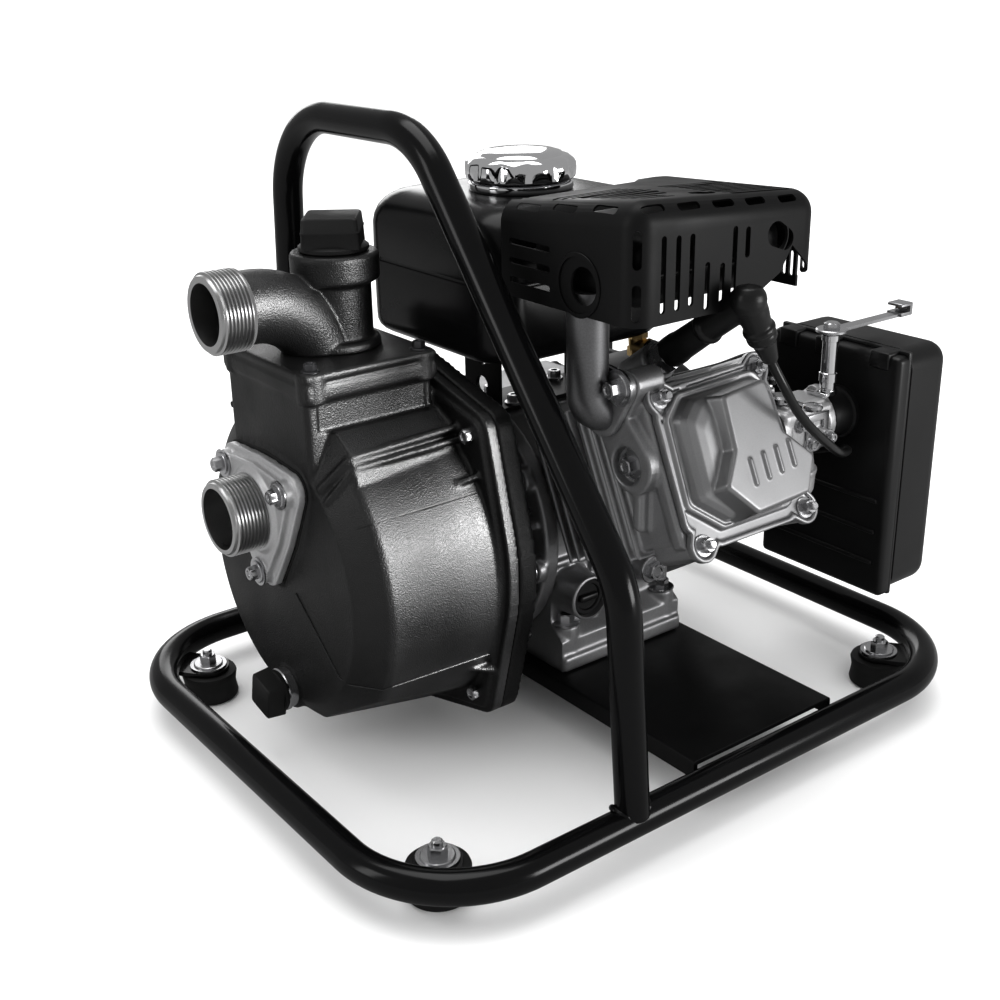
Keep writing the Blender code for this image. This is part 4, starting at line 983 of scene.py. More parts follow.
def build_valve_cover():
    flange = prism(cover_outline(0), "Z", 200.3, 205.2)
    moat = prism(cover_outline(3.4), "Z", 203.2, 210)
    ears = []
    seats = []
    for x, y in COVER_BOLTS:
        ears.append(prism(hull_outline([(x, y, 10.0), (x * 0.8, y * 0.8, 12.0)]), "Z", 200.3, 205.2))
        seats.append(prism(hull_outline([(x, y, 7.4), (x * 0.8, y * 0.8, 9.0)]), "Z", 203.2, 210))
    rim = combine(flange, ears, [moat] + seats)

    def level(corners, height, corner_r, steps=6):
        return [Vector((x, y, height)) for x, y in rounded(corners, corner_r, steps)]

    foot = [(-41, 27), (-28, 39), (36, 41), (45, 29), (48, -30), (37, -44), (-20, -44), (-43, -26)]

    def foot_by(share):
        return [(3 + (x - 3) * share, -3 + (y + 3) * share) for x, y in foot]

    bead_levels = ((202, 1.0, 6), (205.6, 1.0, 6), (206.8, 0.985, 6), (207.2, 0.955, 6), (206.6, 0.93, 5))
    bead = loft([level(foot_by(share), height, corner_r) for height, share, corner_r in bead_levels])
    cheek_levels = (
        (204, 0.90), (208, 0.895), (211.5, 0.87), (214.5, 0.82), (216.8, 0.74), (218.2, 0.62), (218.8, 0.4))
    cheeks = loft([level(foot_by(share), height, 6) for height, share in cheek_levels])
    bell = [(-13, 30), (22, 33), (25, 2), (44, -17), (33, -37), (-10, -39), (-28, -20), (-15, -1)]
    grown = [(-17, 33), (25, 36.5), (29, 3), (45, -15), (36, -41), (-11, -43), (-32.5, -22), (-19, 0)]

    def bell_level(mix, height, corner_r):
        corners = [(a[0] + (b[0] - a[0]) * mix, a[1] + (b[1] - a[1]) * mix) for a, b in zip(bell, grown)]
        return level(corners, height, corner_r)

    bell_levels = ((1.0, 204), (0.85, 211), (0.1, 226.4), (-0.25, 228))
    top = loft([bell_level(mix, height, 3) for mix, height in bell_levels])
    ribs = []
    for k in range(4):
        x = -8 + 11 * k
        ribs.append(block((x, -24 + 1.2 * k, 226), (x + 2.6, -8 + 1.2 * k, 229.6), 1.0))
    cover = leaned(cast(combine(rim, [bead, cheeks, top] + ribs), 0.62, 3))
    room_levels = ((199, 30, 33), (211, 27, 32), (219, 12, 20))
    room = leaned(loft([level(box_corners(hx, hy), height, 4.0, 3) for height, hx, hy in room_levels]))
    piece("rocker_cover", combine(cover, cut=[room]), "cover_alu", ["valve_cover"], smooth=60)
    out = LEAN.to_3x3() @ Vector(UP)
    bolts = []
    for x, y in COVER_BOLTS:
        bolts.append(bolt(along_lean(x, y, 203.3), out, 8.0, 5.5, 6.6, 0.0))
        stud = turned([(0, 2.6), (2.6, 2.6), (3.2, 2.0), (3.2, 0)], along_lean(x, y, 209.6), out, 24)
        bolts.append(stud)
    piece("cover_bolts", merged(bolts), "zinc", smooth=25)


def plug_line(start, end):
    """Two points on the spark plug's line, measured from the plug's seat on the head."""
    seat = Vector((11, -95, 257))
    tip = Vector((10, -166.5, 308))
    heading = (tip - seat).normalized()
    return seat + heading * start, seat + heading * end


def build_spark_plug():
    seat, end = plug_line(4.6, 40)
    heading = end - seat
    profile = [(0, 10), (1.6, 10), (1.6, hexagon(18)), (10, hexagon(18)), (11, 7.2), (11, 6.0)]
    shell = turned(profile, seat, heading, 48)
    profile = [(10, 6)]
    for k in range(5):
        profile += [(13 + 3 * k, 5.6), (13.6 + 3 * k, 6.2), (14.8 + 3 * k, 6.2), (15.4 + 3 * k, 5.4)]
    profile += [(30, 5.2), (30, 2.5), (35, 2.5)]
    body = turned(profile, seat, heading, 48)
    stem = rod(*plug_line(-13, 6), 6.9)
    piece("plug_body", merged([shell, body, stem]), "zinc", ["spark_plug"], smooth=40)


def build_boot_and_lead():
    low, high = plug_line(13, 86)
    profile = [(0, 9.0), (1, 9.6), (8, 9.6), (12, 9.0), (30, 8.6), (60, 8.6), (73, 9.4)]
    sleeve = turned(profile, low, high - low, 64)
    knuckle = high + Vector((0, 0, -1))
    profile = [(-10, 0), (-9, 5), (-6, 8), (-2, 9.8), (2, 10), (5, 9.2), (8, 7), (10, 0)]
    cap = turned(profile, knuckle, UP, 64)
    lean = Vector((0.49, 0, -0.87))
    profile = [
        (0, 9.2), (8, 9.0), (14, 8.2), (17, 8.0), (18, 9.2), (20, 9.4), (21.5, 8.2), (23, 8.8), (26, 8.6),
        (28, 7.0), (34, 5.8), (42, 4.4),
    ]
    collar = turned(profile, knuckle, lean, 64)
    ring_back = turned([(34, 8.7), (35.5, 9.8), (37.5, 9.8), (39, 8.7)], low, high - low, 64)
    boot = cast(combine(sleeve, [cap, collar, ring_back]), 0.7, 5)
    room = turned([(0, 7.3), (24, 7.0), (28, 3)], low - (high - low).normalized(), high - low, 48)
    piece("spark_boot", combine(boot, cut=[room]), "boot_rubber", ["plug_boot"], smooth=60)

    route = [
        tuple(knuckle + lean * 30), tuple(knuckle + lean * 44), (38.5, -169, 253), (50, -169.5, 237),
        (67, -168, 221), (90, -162, 205), (113, -153, 192), (138, -138, 184), (156, -112, 174),
        (152, -84, 165), (138, -60, 162),
        beside_flywheel(LEAD_X + 4, 96), beside_flywheel(LEAD_X, 88), beside_flywheel(LEAD_X, 78.4),
    ]
    lead = sweep(smooth_route([Vector(point) for point in route], 14), LEAD_R, sides=32)
    piece("ht_lead", lead, "boot_rubber", ["ignition_lead"])
    outward = Vector(beside_flywheel(LEAD_X, 95)) - Vector(beside_flywheel(LEAD_X, 80))
    profile = [(0, 5.8), (4, 5.4), (5, 6.6), (7, 6.6), (10, 4.6), (10, 3.6), (0, 3.6)]
    grommet = turned(profile, beside_flywheel(LEAD_X, 80.5), outward, 48, hollow=True)
    piece("lead_grommet", grommet, "rubber")


def beside_flywheel(x, radius):
    """A point on the ignition coil's own radius from the shaft line."""
    return (x, SHAFT_Y - radius * math.cos(COIL_TURN), SHAFT_Z + radius * math.sin(COIL_TURN))


def smooth_route(points, steps):
    """A Catmull-Rom curve through the points, with a few steps between each two."""
    ends = [2 * points[0] - points[1]] + points + [2 * points[-1] - points[-2]]
    smooth = []
    for a, b, c, d in zip(ends, ends[1:], ends[2:], ends[3:]):
        for k in range(steps):
            t = k / steps
            cubic = -a + 3 * b - 3 * c + d
            square = 2 * a - 5 * b + 4 * c - d
            smooth.append(b + (c - a) * t / 2 + square * t ** 2 / 2 + cubic * t ** 3 / 2)
    smooth.append(points[-1])
    return smooth


def build_shroud():
    length = STARTER_X - GAP - SHROUD_X
    profile = [
        (0, SHROUD_R - 3), (0, SHROUD_R), (2, SHROUD_R), (2.6, SHROUD_R - 0.8), (4, SHROUD_R - 0.8),
        (4.6, SHROUD_R), (length - 10, SHROUD_R), (length - 5, SHROUD_R - 1.5),
        (length - 1.5, SHROUD_R - 5.5), (length, SHROUD_R - 10), (length, 40), (length - 3, 40),
        (length - 3, SHROUD_R - 11), (length - 8, SHROUD_R - 3),
    ]
    shroud = turned(profile, (SHROUD_X, SHAFT_Y, SHAFT_Z), ALONG, 128, hollow=True)
    add = [
        block((SHROUD_X, -64, 108), (SHROUD_X + 26, -20, 206), 6.0, 4),
        block((148, 90, 174), (155, 110, 196), 2.0, 3),
    ]
    for turn in EAR_TURNS:
        add.append(disc((SHROUD_X, SHROUD_X + 5), 8, *round_shaft(SHROUD_R + 1, turn), 40))
    duct_room = block((SHROUD_X - 5, -61, 111), (SHROUD_X + 23, 0, 203))
    shroud_room = disc((SHROUD_X - 1, SHROUD_X + length - 9), SHROUD_R - 3.2)
    lead_hole = rod(beside_flywheel(LEAD_X, 95), beside_flywheel(LEAD_X, 74), 6)
    switch_pocket = block((153.2, 93, 176.5), (156, 107, 193.5))
    shroud = combine(shroud, add, [duct_room, shroud_room, lead_hole, switch_pocket])
    piece("fan_housing", shroud, "satin_paint", ["fan_shroud"], bevel=0.5)


def starter_vents():
    """Round slots in the starter cover's face, and slots round its side clear of the rope's outlet."""
    vents = []
    for k in range(24):
        vent = block((STARTER_X + 26, -1.9, 16), (STARTER_X + 40, 1.9, 33), 1.8, 4)
        vents.append(spun(vent, 15 * (k + 0.5)))
    for k in range(30):
        turn = 12 * (k + 0.5)
        if math.cos(math.radians(turn + 20)) > 0.72:
            continue
        vent = block((STARTER_X + 10, -2.2, 46), (STARTER_X + 19, 2.2, 64), 1.8, 3)
        vents.append(spun(vent, turn))
    return merged(vents)


def build_starter_cover():
    profile = [
        (0, 62), (2.5, 62), (3.2, 60.6), (8, 60.6), (12, 57.5), (18, 52), (24, 49.5), (30, 46), (32.4, 41),
        (33, 36), (33, 0), (30, 0), (30, 38), (27.5, 43), (16, 49), (6, 57.5), (0, 59),
    ]
    cover = turned(profile, (STARTER_X, SHAFT_Y, SHAFT_Z), ALONG, 128, hollow=True)
    add = [disc((158, STARTER_X + 31), 5), rod((ROPE_X, 80, ROPE_Z), (ROPE_X, 100, ROPE_Z), 8)]
    spots = [round_shaft(63, 45 + 90 * k) for k in range(4)]
    for y, z in spots:
        add.append(disc((STARTER_X, STARTER_X + 4), 8, y, z, 40))
    rope_hole = rod((ROPE_X, 70, ROPE_Z), (ROPE_X, 102, ROPE_Z), 3.2)
    cover = combine(cover, add, [starter_vents(), rope_hole])
    piece("recoil_cover", cover, "satin_paint", ["starter_cover"], bevel=0.4)
    bolts = [bolt((STARTER_X + 4, y, z), ALONG, 8.0, 4.5) for y, z in spots]
    for turn in EAR_TURNS:
        bolts.append(bolt((SHROUD_X + 5, *round_shaft(SHROUD_R + 2, turn)), ALONG, 8.0, 4.5, 6.0))
    piece("shroud_bolts", merged(bolts), "zinc", smooth=25)


def build_starter_pull():
    levels = (
        (126, 7.5, 34), (127.5, 9.6, 38), (131, 10.9, 40), (138, 10.4, 39.5), (142, 9.9, 38.8),
        (145, 8.6, 36.5), (146, 6.5, 32),
    )
    rings = []
    for y, hx, hz in levels:
        rings.append([Vector((ROPE_X + x, y, ROPE_Z + z)) for x, z in box_outline(hx, hz, hx * 0.85, 8)])
    grip = loft(rings)
    nose = turned([(0, 3.4), (1, 5.4), (3, 6.2), (10, 8.5), (13, 9.0)], (ROPE_X, 118, ROPE_Z), (0, 1, 0), 48)
    piece("pull_grip", merged([grip, nose]), "rubber", ["starter_grip"], body="starter_pull", smooth=40)
    path = [Vector((ROPE_X, 82 + 35.7 * i / 60, ROPE_Z)) for i in range(61)]
    rope = sweep(path, lambda i: 1.92 + 0.16 * math.cos(i * math.pi), sides=16)
    rope = piece("pull_rope", rope, "fibre", ["starter_rope"], body=None)
    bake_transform(rope)


def build_switch():
    outline = [
        (155.4, -6.5), (156.6, -7.6), (160.8, -8.2), (161.5, -7.4), (160.3, -2), (160.0, 0),
        (160.3, 2), (161.5, 7.4), (160.8, 8.2), (156.6, 7.6), (155.4, 6.5),
    ]
    rocker = shifted(prism(outline, "Y", 94.0, 106.0), (0, 0, 185))
    piece("switch_paddle", rocker, "plastic", ["stop_switch"], body="switch_rocker", bevel=0.4)


# ---------------------------------------------------------------- fuel, exhaust and air

def tank_ring(height, inset, corner=TANK_CORNER):
    low_x = TANK_LOW[0] + inset
    low_y = TANK_LOW[1] + inset
    high_x = TANK_HIGH[0] - inset
    high_y = TANK_HIGH[1] - inset
    corners = [(low_x, low_y), (high_x, low_y), (high_x, high_y), (low_x, high_y)]
    return [Vector((x, y, height)) for x, y in rounded(corners, corner, 16)]


def build_tank():
    levels = [
        (250.0, 9.0), (250.8, 6.2), (252.5, 3.5), (255, 1.4), (258.0, 0.4), (262, 0.2),
        (297.4, 0.0), (298.2, 0.2), (298.4, 1.2), (299.6, 1.5), (300.8, 1.2), (301.0, 0.2), (301.8, 0.0),
        (322.0, 0.3), (327, 1.2), (332.0, 3.2), (336.0, 6.2), (339.0, 9.8), (341.3, 14.0), (342.6, 19.0),
        (343.0, 25.0),
    ]
    rings = [tank_ring(h, inset, max(TANK_CORNER + 4 - inset * 0.4, 8)) for h, inset in levels]
    tank = loft(rings)
    top = TANK_HIGH[2]
    neck = turned([(-3, 33), (0.2, 32.4), (1.6, 31), (4.6, 30.6), (6, 29.6)], (CAP_X, CAP_Y, top), UP, 96)
    tube = rod((CAP_X, CAP_Y, top - 3), (CAP_X, CAP_Y, top + 11), 23)
    bore = rod((CAP_X, CAP_Y, top - 40), (CAP_X, CAP_Y, top + 12), 19)
    piece("tank_shell", combine(tank, [neck, tube], [bore]), "tank_paint", ["fuel_tank"], smooth=40)
    collar = turned([(0, 23.2), (0, 33), (1.2, 33.6), (4.2, 33.2), (5.6, 31.5), (5.6, 23.2)],
                    (CAP_X, CAP_Y, top + 0.4), UP, 96, hollow=True)
    piece("filler_collar", collar, "chrome", smooth=40)


def build_fuel_cap():
    def scallop(base, depth):
        return lambda turn: base - depth * (0.5 - 0.5 * math.cos(12 * turn)) ** 1.6

    profile = [
        (6.6, 25), (6.6, 33.6), (7.6, 34.6), (9, scallop(35.4, 1.3)), (13, scallop(35.5, 2.0)),
        (16.5, scallop(35.2, 2.0)), (18.4, scallop(34.0, 1.4)), (20, scallop(31.8, 0.6)), (20.8, 29.5),
        (21.2, 27.5), (22.6, 26), (23.8, 22), (24.3, 12), (24.4, 0), (19, 0), (19, 25)]
    cap = turned(profile, (CAP_X, CAP_Y, TANK_HIGH[2]), UP, 144, hollow=True)
    piece("tank_cap", cap, "chrome", ["fuel_cap"], body="cap", smooth=30)


def build_tank_stay():
    under = TANK_LOW[2] - GAP
    outline = [
        (-44, under), (-44, under - 2.5), (-16.5, under - 2.5), (-16.5, CASE_TOP + GAP),
        (72.5, CASE_TOP + GAP), (72.5, under - 2.5), (80, under - 2.5), (80, under), (70, under),
        (70, CASE_TOP + 3), (-14, CASE_TOP + 3), (-14, under),
    ]
    bracket = prism(outline, "Y", 24, 62)
    holes = []
    for z in (216, 236):
        holes.append(rod((-25, 43, z), (-8, 43, z), 6))
        holes.append(rod((60, 43, z), (84, 43, z), 6))
    piece("tank_stay", combine(bracket, cut=holes), "satin_paint", ["tank_bracket"], bevel=0.5)
    bolts = []
    for x in (0, 56):
        for y in (30, 56):
            bolts.append(bolt((x, y, CASE_TOP + 3), UP, 8.0, 5.0))
    piece("stay_bolts", merged(bolts), "zinc", smooth=25)


def build_tap_and_hose():
    profile = [
        (0, 4), (0, 5.2), (3, 5.2), (3, hexagon(11.5)), (9, hexagon(11.5)), (9, 5.6), (14, 6),
        (15, 6), (15, hexagon(12)), (18.6, hexagon(12)),
    ]
    body = turned(profile, (66, -18, TAP_Z - 9), UP, 48)
    valve = rod((66, -18, TAP_Z), (66, -30, TAP_Z), 6.4)
    nut = turned([(0, hexagon(12.6)), (3, hexagon(12.6))], (66, -30, TAP_Z), (0, 1, 0), 48)
    piece("tap_body", merged([body, valve, nut]), "brass", ["fuel_tap"], smooth=30)
    hub = turned([(0, 7), (2.6, 7), (3.6, 6)], (66, -30.3, TAP_Z), NEAR, 48)
    arm = block((62.9, -34.2, TAP_Z - 25), (69.1, -31.2, TAP_Z - 2), 1.4, 3)
    piece("tap_handle", merged([hub, arm]), "plastic", ["fuel_tap_lever"], body="fuel_valve", smooth=40)
    route = [
        (66, -18, TAP_Z - 9.3), (66, -18, 227), (66, -18, 223.5), (80, -30, 217), (96, -60, 228),
        (107, -82, 239), (112, -94, 236), (112, -94, 223.0),
    ]
    hose = sweep(smooth_route([Vector(point) for point in route], 16), HOSE_R, sides=32)
    piece("feed_hose", hose, "rubber", ["fuel_hose"])
    clips = []
    for at in ((66, -18, 225.6), (112, -94, 226.5)):
        profile = [(0, HOSE_R + 0.1), (0, HOSE_R + 1), (2.4, HOSE_R + 1), (2.4, HOSE_R + 0.1)]
        clips.append(turned(profile, at, UP, 40, hollow=True))
    piece("hose_clips", merged(clips), "zinc", smooth=30)


def port_plate(x_range, above, below, lobe_r, disc_r):
    """A flange round the intake's line with a lobe above and a lobe below."""
    circles = [(PORT_Y, PORT_Z + above, lobe_r), (PORT_Y, PORT_Z - below, lobe_r), (PORT_Y, PORT_Z, disc_r)]
    return prism(hull_outline(circles), "X", *x_range)


def build_port_spacer():
    insulator = rod((80.3, PORT_Y, PORT_Z), (97.7, PORT_Y, PORT_Z), 17)
    plate = port_plate((84, 92), 20, 20, 7, 16)
    bore = rod((79, PORT_Y, PORT_Z), (99, PORT_Y, PORT_Z), 10)
    piece("port_spacer", combine(insulator, [plate], [bore]), "plastic", ["intake_insulator"], bevel=0.4)


def build_carburettor():
    body = block((98, PORT_Y - 15, PORT_Z - 15), (145, PORT_Y + 16, PORT_Z + 15), 4.0)
    parts = [
        port_plate((98, 104), 10, 17, 6, 16),
        port_plate((139, 145), 17, 17, 6, 17),
        turned([(0, 12), (1.5, 15.5), (6, 17.5), (16, 18), (18, 18.8), (20, 18.8), (21, 17), (34, 15)],
               (120, PORT_Y, 148), UP),
        turned([(-3, 3.5), (0, 6.0), (3.5, 6.0)], (120, PORT_Y, 148), UP),
        rod((112, -94, PORT_Z + 12), (112, -94, PORT_Z + 24), 2.9),
        block((103, PORT_Y - 12, PORT_Z + 10), (140, PORT_Y + 12, PORT_Z + 18), 2.5),
        rod((131, PORT_Y - 14, PORT_Z - 4), (131, PORT_Y - 22, PORT_Z - 4), 5, end_radius=4),
    ]
    throat = rod((97, PORT_Y, PORT_Z), (147, PORT_Y, PORT_Z), 9)
    carb = combine(cast(combine(body, parts), 0.8, 3), cut=[throat])
    piece("carb_body", carb, "cast_alu", ["carburettor"], smooth=60)
    bolts = [
        bolt((131, PORT_Y - 22, PORT_Z - 4), NEAR, 6.0, 4.0, 5.0),
        bolt((112, PORT_Y - 15, PORT_Z + 6), NEAR, 7.0, 4.0, 5.6),
        bolt((122, PORT_Y - 15, PORT_Z - 9), NEAR, 7.0, 4.0, 5.6),
    ]
    bracket = block((117, PORT_Y - 17.2, PORT_Z - 13), (137, PORT_Y - 15.4, PORT_Z + 11), 0.6)
    window = block((122, PORT_Y - 20, PORT_Z - 8), (132, PORT_Y - 12, PORT_Z + 6), 0.5)
    piece("carb_bracket", combine(bracket, cut=[window]), "zinc", bevel=0.3)
    piece("carb_screws", merged(bolts), "zinc", smooth=25)


def build_intake_duct():
    start = 145.3
    reach = BOX_LOW[0] - GAP - start
    profile = [
        (0, 14), (0, 17), (3, 17), (4, 16), (reach - 5, 16), (reach - 4, 17.5), (reach, 17.5),
        (reach, 10), (0, 10),
    ]
    duct = turned(profile, (start, PORT_Y, PORT_Z), ALONG, 80, hollow=True)
    piece("air_elbow", duct, "plastic", ["intake_duct"], smooth=40)


def build_choke():
    x = 108
    hub = turned([(0, 7), (3.4, 7), (4.7, 5.6)], (x, PORT_Y, CARB_TOP + GAP), UP, 48)
    arm = block((x - 2.8, PORT_Y - 30, CARB_TOP + 1.5), (x + 2.8, PORT_Y - 3, CARB_TOP + 3.5), 0.5)
    profile = [(0, 3.5), (0.8, 5.6), (2.4, 6.4), (4, 5.6), (4.8, 3.5)]
    knob = turned(profile, (x, PORT_Y - 27, CARB_TOP + 1.0), UP, 48)
    piece("choke_arm", merged([hub, arm, knob]), "zinc", ["choke_lever"], body="choke", smooth=30)


def build_speed_lever():
    profile = [
        (0.3, 6), (3, 6), (3.2, 5.2), (8, 5.2), (8.4, 6), (14, 6), (14.4, 5.2), (35, 5.2), (35.4, 6), (39, 6),
        (40, 5.4),
    ]
    post = turned(profile, (POST_X, POST_Y, CARB_TOP), UP, 48)
    foot = block((POST_X - 11, POST_Y - 8, CARB_TOP + GAP), (POST_X - 2, POST_Y + 8, CARB_TOP + 3), 0.6)
    piece("lever_pillar", merged([post, foot]), "chrome", ["lever_post"], smooth=30)
    outline = [(POST_X + x, POST_TOP + z) for x, z in ((-2, 0.4), (66, 0.4), (66, 2.4), (-2, 2.4))]
    arm = prism(outline, "Y", POST_Y - 4, POST_Y + 4)
    hub = turned([(0.3, 9), (1, 10), (2.4, 10), (3, 9.2)], (POST_X, POST_Y, POST_TOP), UP, 48)
    nut = turned([(3, hexagon(9)), (6.2, hexagon(9)), (7, 3.9), (7, 0)], (POST_X, POST_Y, POST_TOP), UP, 48)
    tab = block((POST_X + 62, POST_Y - 6, POST_TOP + 0.3), (POST_X + 74, POST_Y + 6, POST_TOP + 9), 0.9)
    slot = block((POST_X + 60, POST_Y - 8, POST_TOP + 3), (POST_X + 71, POST_Y + 8, POST_TOP + 7.2), 0.4)
    lever = merged([arm, hub, nut, combine(tab, cut=[slot])])
    piece("throttle_arm", lever, "zinc", ["speed_lever"], body="throttle", smooth=30)


def in_box(x_range, side, end, bevel=0.0, segments=3):
    """A block between two X planes, drawn in from the air box's sides and from its ends."""
    low = (x_range[0], BOX_LOW[1] + side, BOX_LOW[2] + end)
    high = (x_range[1], BOX_HIGH[1] - side, BOX_HIGH[2] - end)
    return block(low, high, bevel, segments)


def build_air_box():
    x = BOX_LOW[0]
    top = BOX_HIGH[2]
    back = block(BOX_LOW, (BOX_SPLIT, BOX_HIGH[1], top - 2.5), 4.0, 4)
    add = [in_box((BOX_SPLIT - 4, BOX_SPLIT), 0, 0, 1.4, 2)]
    for y in (-142, -97, -66):
        add.append(block((x - 1.5, y, top - 12), (BOX_SPLIT - 2, y + 15, top - 0.5), 1.4))
    for z in (96, 118, 140):
        add.append(block((x - 1.2, BOX_LOW[1] + 8, z), (x + 3, BOX_HIGH[1] - 8, z + 3), 1.0))
    pocket = in_box((x + 3, BOX_SPLIT + 5), 4, 4)
    hole = rod((x - 3, PORT_Y, PORT_Z), (x + 6, PORT_Y, PORT_Z), 10)
    piece("air_box_back", combine(back, add, [pocket, hole]), "plastic", ["air_cleaner_back"], bevel=0.4)

    face = BOX_HIGH[0]
    cover = in_box((BOX_SPLIT + GAP - 14, face), 0, 0, 13.0, 8)
    panel = in_box((face - 1.2, face + 2), 22, 26)
    room = in_box((BOX_SPLIT - 20, face - 3), 3, 3, 9.0, 4)
    trim = in_box((BOX_SPLIT - 30, BOX_SPLIT + GAP), -5, -5)
    cover = combine(cover, cut=[room, trim, panel])
    piece("air_box_cover", cover, "plastic", ["air_cleaner_cover"], bevel=0.5)


def shield_top(x, y):
    """Height of the shield's top at a point, with its fall towards the fan end and the tank."""
    across = min(max((x - SHIELD_LOW[0]) / (SHIELD_HIGH[0] - SHIELD_LOW[0]), 0.0), 1.0)
    back = min(max((y - SHIELD_LOW[1]) / (SHIELD_HIGH[1] - SHIELD_LOW[1]), 0.0), 1.0)
    return SHIELD_HIGH[2] - max(SHIELD_DROP_X * across, SHIELD_DROP_Y * back)


def sloped(made):
    """Lowers the shield's upper half towards the fan end and the tank."""
    for vert in made.data.vertices:
        point = vert.co / MM
        if point.z > (SHIELD_LOW[2] + SHIELD_HIGH[2]) / 2:
            vert.co.z -= (SHIELD_HIGH[2] - shield_top(point.x, point.y)) * MM
    return made


def build_exhaust():
    body = block((-50, -142, 304), (64, -50, 343), 12.0, 5)
    seam = block((-52.5, -144.5, 322), (66.5, -47.5, 324.6))
    corners = [(-31.2, *EXHAUST), (PIPE_X, *EXHAUST), (PIPE_X, EXHAUST[0], 309)]
    pipe = sweep(bent_path(corners, 13.4, 12), 12, sides=64)
    piece("exhaust_pipe", pipe, "pipe_steel", smooth=60)
    flange = prism(hull_outline([(-114.5, 255, 9.5), (*EXHAUST, 15.5)]), "X", -36, -31.3)
    muffler = cast(combine(body, [seam]), 1.1, 3)
    piece("exhaust_flange", cast(flange, 0.8, 3), "engine_alu", smooth=60)
    piece("silencer", muffler, "satin_paint", ["muffler"], smooth=60)


def shield_front_slots():
    slots = []
    fronts = (
        (-41, 305, 346), (-30.5, 305, 345), (-20.5, 306, 344.6), (-8.7, 302, 328), (2.6, 304, 326),
        (11.5, 307, 344.5), (21.4, 326, 343),
    )
    for x, low, high in fronts:
        slots.append(prism(slot_outline((x, low + 1.8), (x, high - 1.8), 1.8), "Y", -160, -145))
    return slots


def shield_edge_slots():
    """Slots that run over the shield's rounded edges, cut square to each edge."""
    x, y, _ = SHIELD_LOW
    top = SHIELD_HIGH[2]
    slots = []
    for low, high in ((302, 322), (329.5, 350)):
        corner = prism(slot_outline((0, low + 2.5), (0, high - 2.5), 2.4), "Y", -12, 12)
        slots.append(turned_about(corner, (x + 4.5, y + 4.5, 0), "Z", -45))
    for x0, x1 in ((-53, -38), (-28.5, -12.5), (-3, 13), (22, 37), (48, 62)):
        fall = top - shield_top((x0 + x1) / 2, -150)
        cut = block((x0, -2.4, -10), (x1, 2.4, 10), 1.8, 3)
        slots.append(turned_about(cut, (0, y + 4.6, top - 4.6 - fall), "X", 45))
    for y0, y1 in ((-70, -49), (-101, -81), (-133, -114)):
        fall = top - shield_top(x, (y0 + y1) / 2)
        cut = block((-2.4, y0, -10), (2.4, y1, 10), 1.8, 3)
        slots.append(turned_about(cut, (x + 4.6, 0, top - 4.6 - fall), "Y", -45))
    return slots


def shield_end_slots():
    slots = [disc((-66, -54), 10.5, -110.5, 315.5)]
    for z in (331, 320, 309):
        slots.append(block((-66, -82, z - 2), (-54, -46, z + 1.6), 1.5, 3))
    slots.append(prism(slot_outline((-143, 312), (-143, 340), 1.8), "X", 74, 86))
    for k in range(4):
        y = -139 + 5.4 * k
        slots.append(prism(slot_outline((y, 306), (y, 319 - 1.2 * k), 1.5), "X", 74, 86))
    return slots


def shield_top_slots():
    slots = []
    for k in range(10):
        y = -75 - 6.2 * k
        end = -4 if k < 7 else -16
        slots.append(prism(slot_outline((-50 + 1.5 * k, y), (end, y), 1.7), "Z", 340, 372))
    for k in range(11):
        y = -84 - 5.6 * k
        slots.append(prism(slot_outline((20, y), (64, y), 1.6), "Z", 340, 372))
    return slots + [rod((9, -128, 345), (9, -128, 372), 7.5)]


def shield_openings():
    """What is cut away round the shield: its inside, its open back and its shaped lower edge."""
    wall = 1.6
    low = (SHIELD_LOW[0] + wall, SHIELD_LOW[1] + wall, SHIELD_LOW[2] - 50)
    high = (SHIELD_HIGH[0] - wall, SHIELD_HIGH[1] + 40, SHIELD_HIGH[2] - wall)
    room = sloped(block(low, high, 11.4, 8))
    behind = block((-70, SHIELD_HIGH[1], 240), (90, SHIELD_HIGH[1] + 60, 380))
    edge = [
        (-70, 230), (90, 230), (90, 298), (57.6, 328), (48.6, 313.8), (33, 305.6), (21, 303.7), (6, 299),
        (-70, 299),
    ]
    below = prism(edge, "Y", -170, -138)
    under = block((-70, -140, 230), (90, -20, SHIELD_LOW[2]))
    return [room, behind, below, under]


def build_shield():
    low = (SHIELD_LOW[0], SHIELD_LOW[1], SHIELD_LOW[2] - 30)
    high = (SHIELD_HIGH[0], SHIELD_HIGH[1] + 20, SHIELD_HIGH[2])
    shield = sloped(block(low, high, 13.0, 8))
    # The solver loses the whole shield if these cuts are made in some other orders.
    cut = shield_openings() + shield_front_slots() + shield_edge_slots() + shield_end_slots()
    cut += shield_top_slots()
    cut.append(prism(hull_outline([(44, 336, 7), (52, 332, 6)]), "Y", -160, -140))
    shield = combine(shield, cut=cut, overlapping=True)
    piece("muffler_guard", shield, "satin_paint", ["heat_shield"], bevel=0.25, smooth=40)
    profile = [(0, 15.6), (0, 17.6), (0.5, 18), (1.2, 17.4), (1.2, 15.8)]
    rim = turned(profile, (-61.0, -106.5, 315.5), ALONG, 64, hollow=True)
    piece("guard_dish_rim", rim, "satin_paint", smooth=50)


def build_flare():
    profile = [(0, 8.4), (0, 9.4), (7, 13.5), (12, 15.2), (12, 14.4), (7, 12.6)]
    flare = turned(profile, (45, -147.5, 334), (-0.35, -1, 0.05), 64, hollow=True)
    trimmed = combine(flare, cut=[block((20, -200, 300), (80, -151.9, 360))])
    piece("outlet_flare", trimmed, "satin_paint", smooth=50)


# ---------------------------------------------------------------- the rest of the model's own nodes

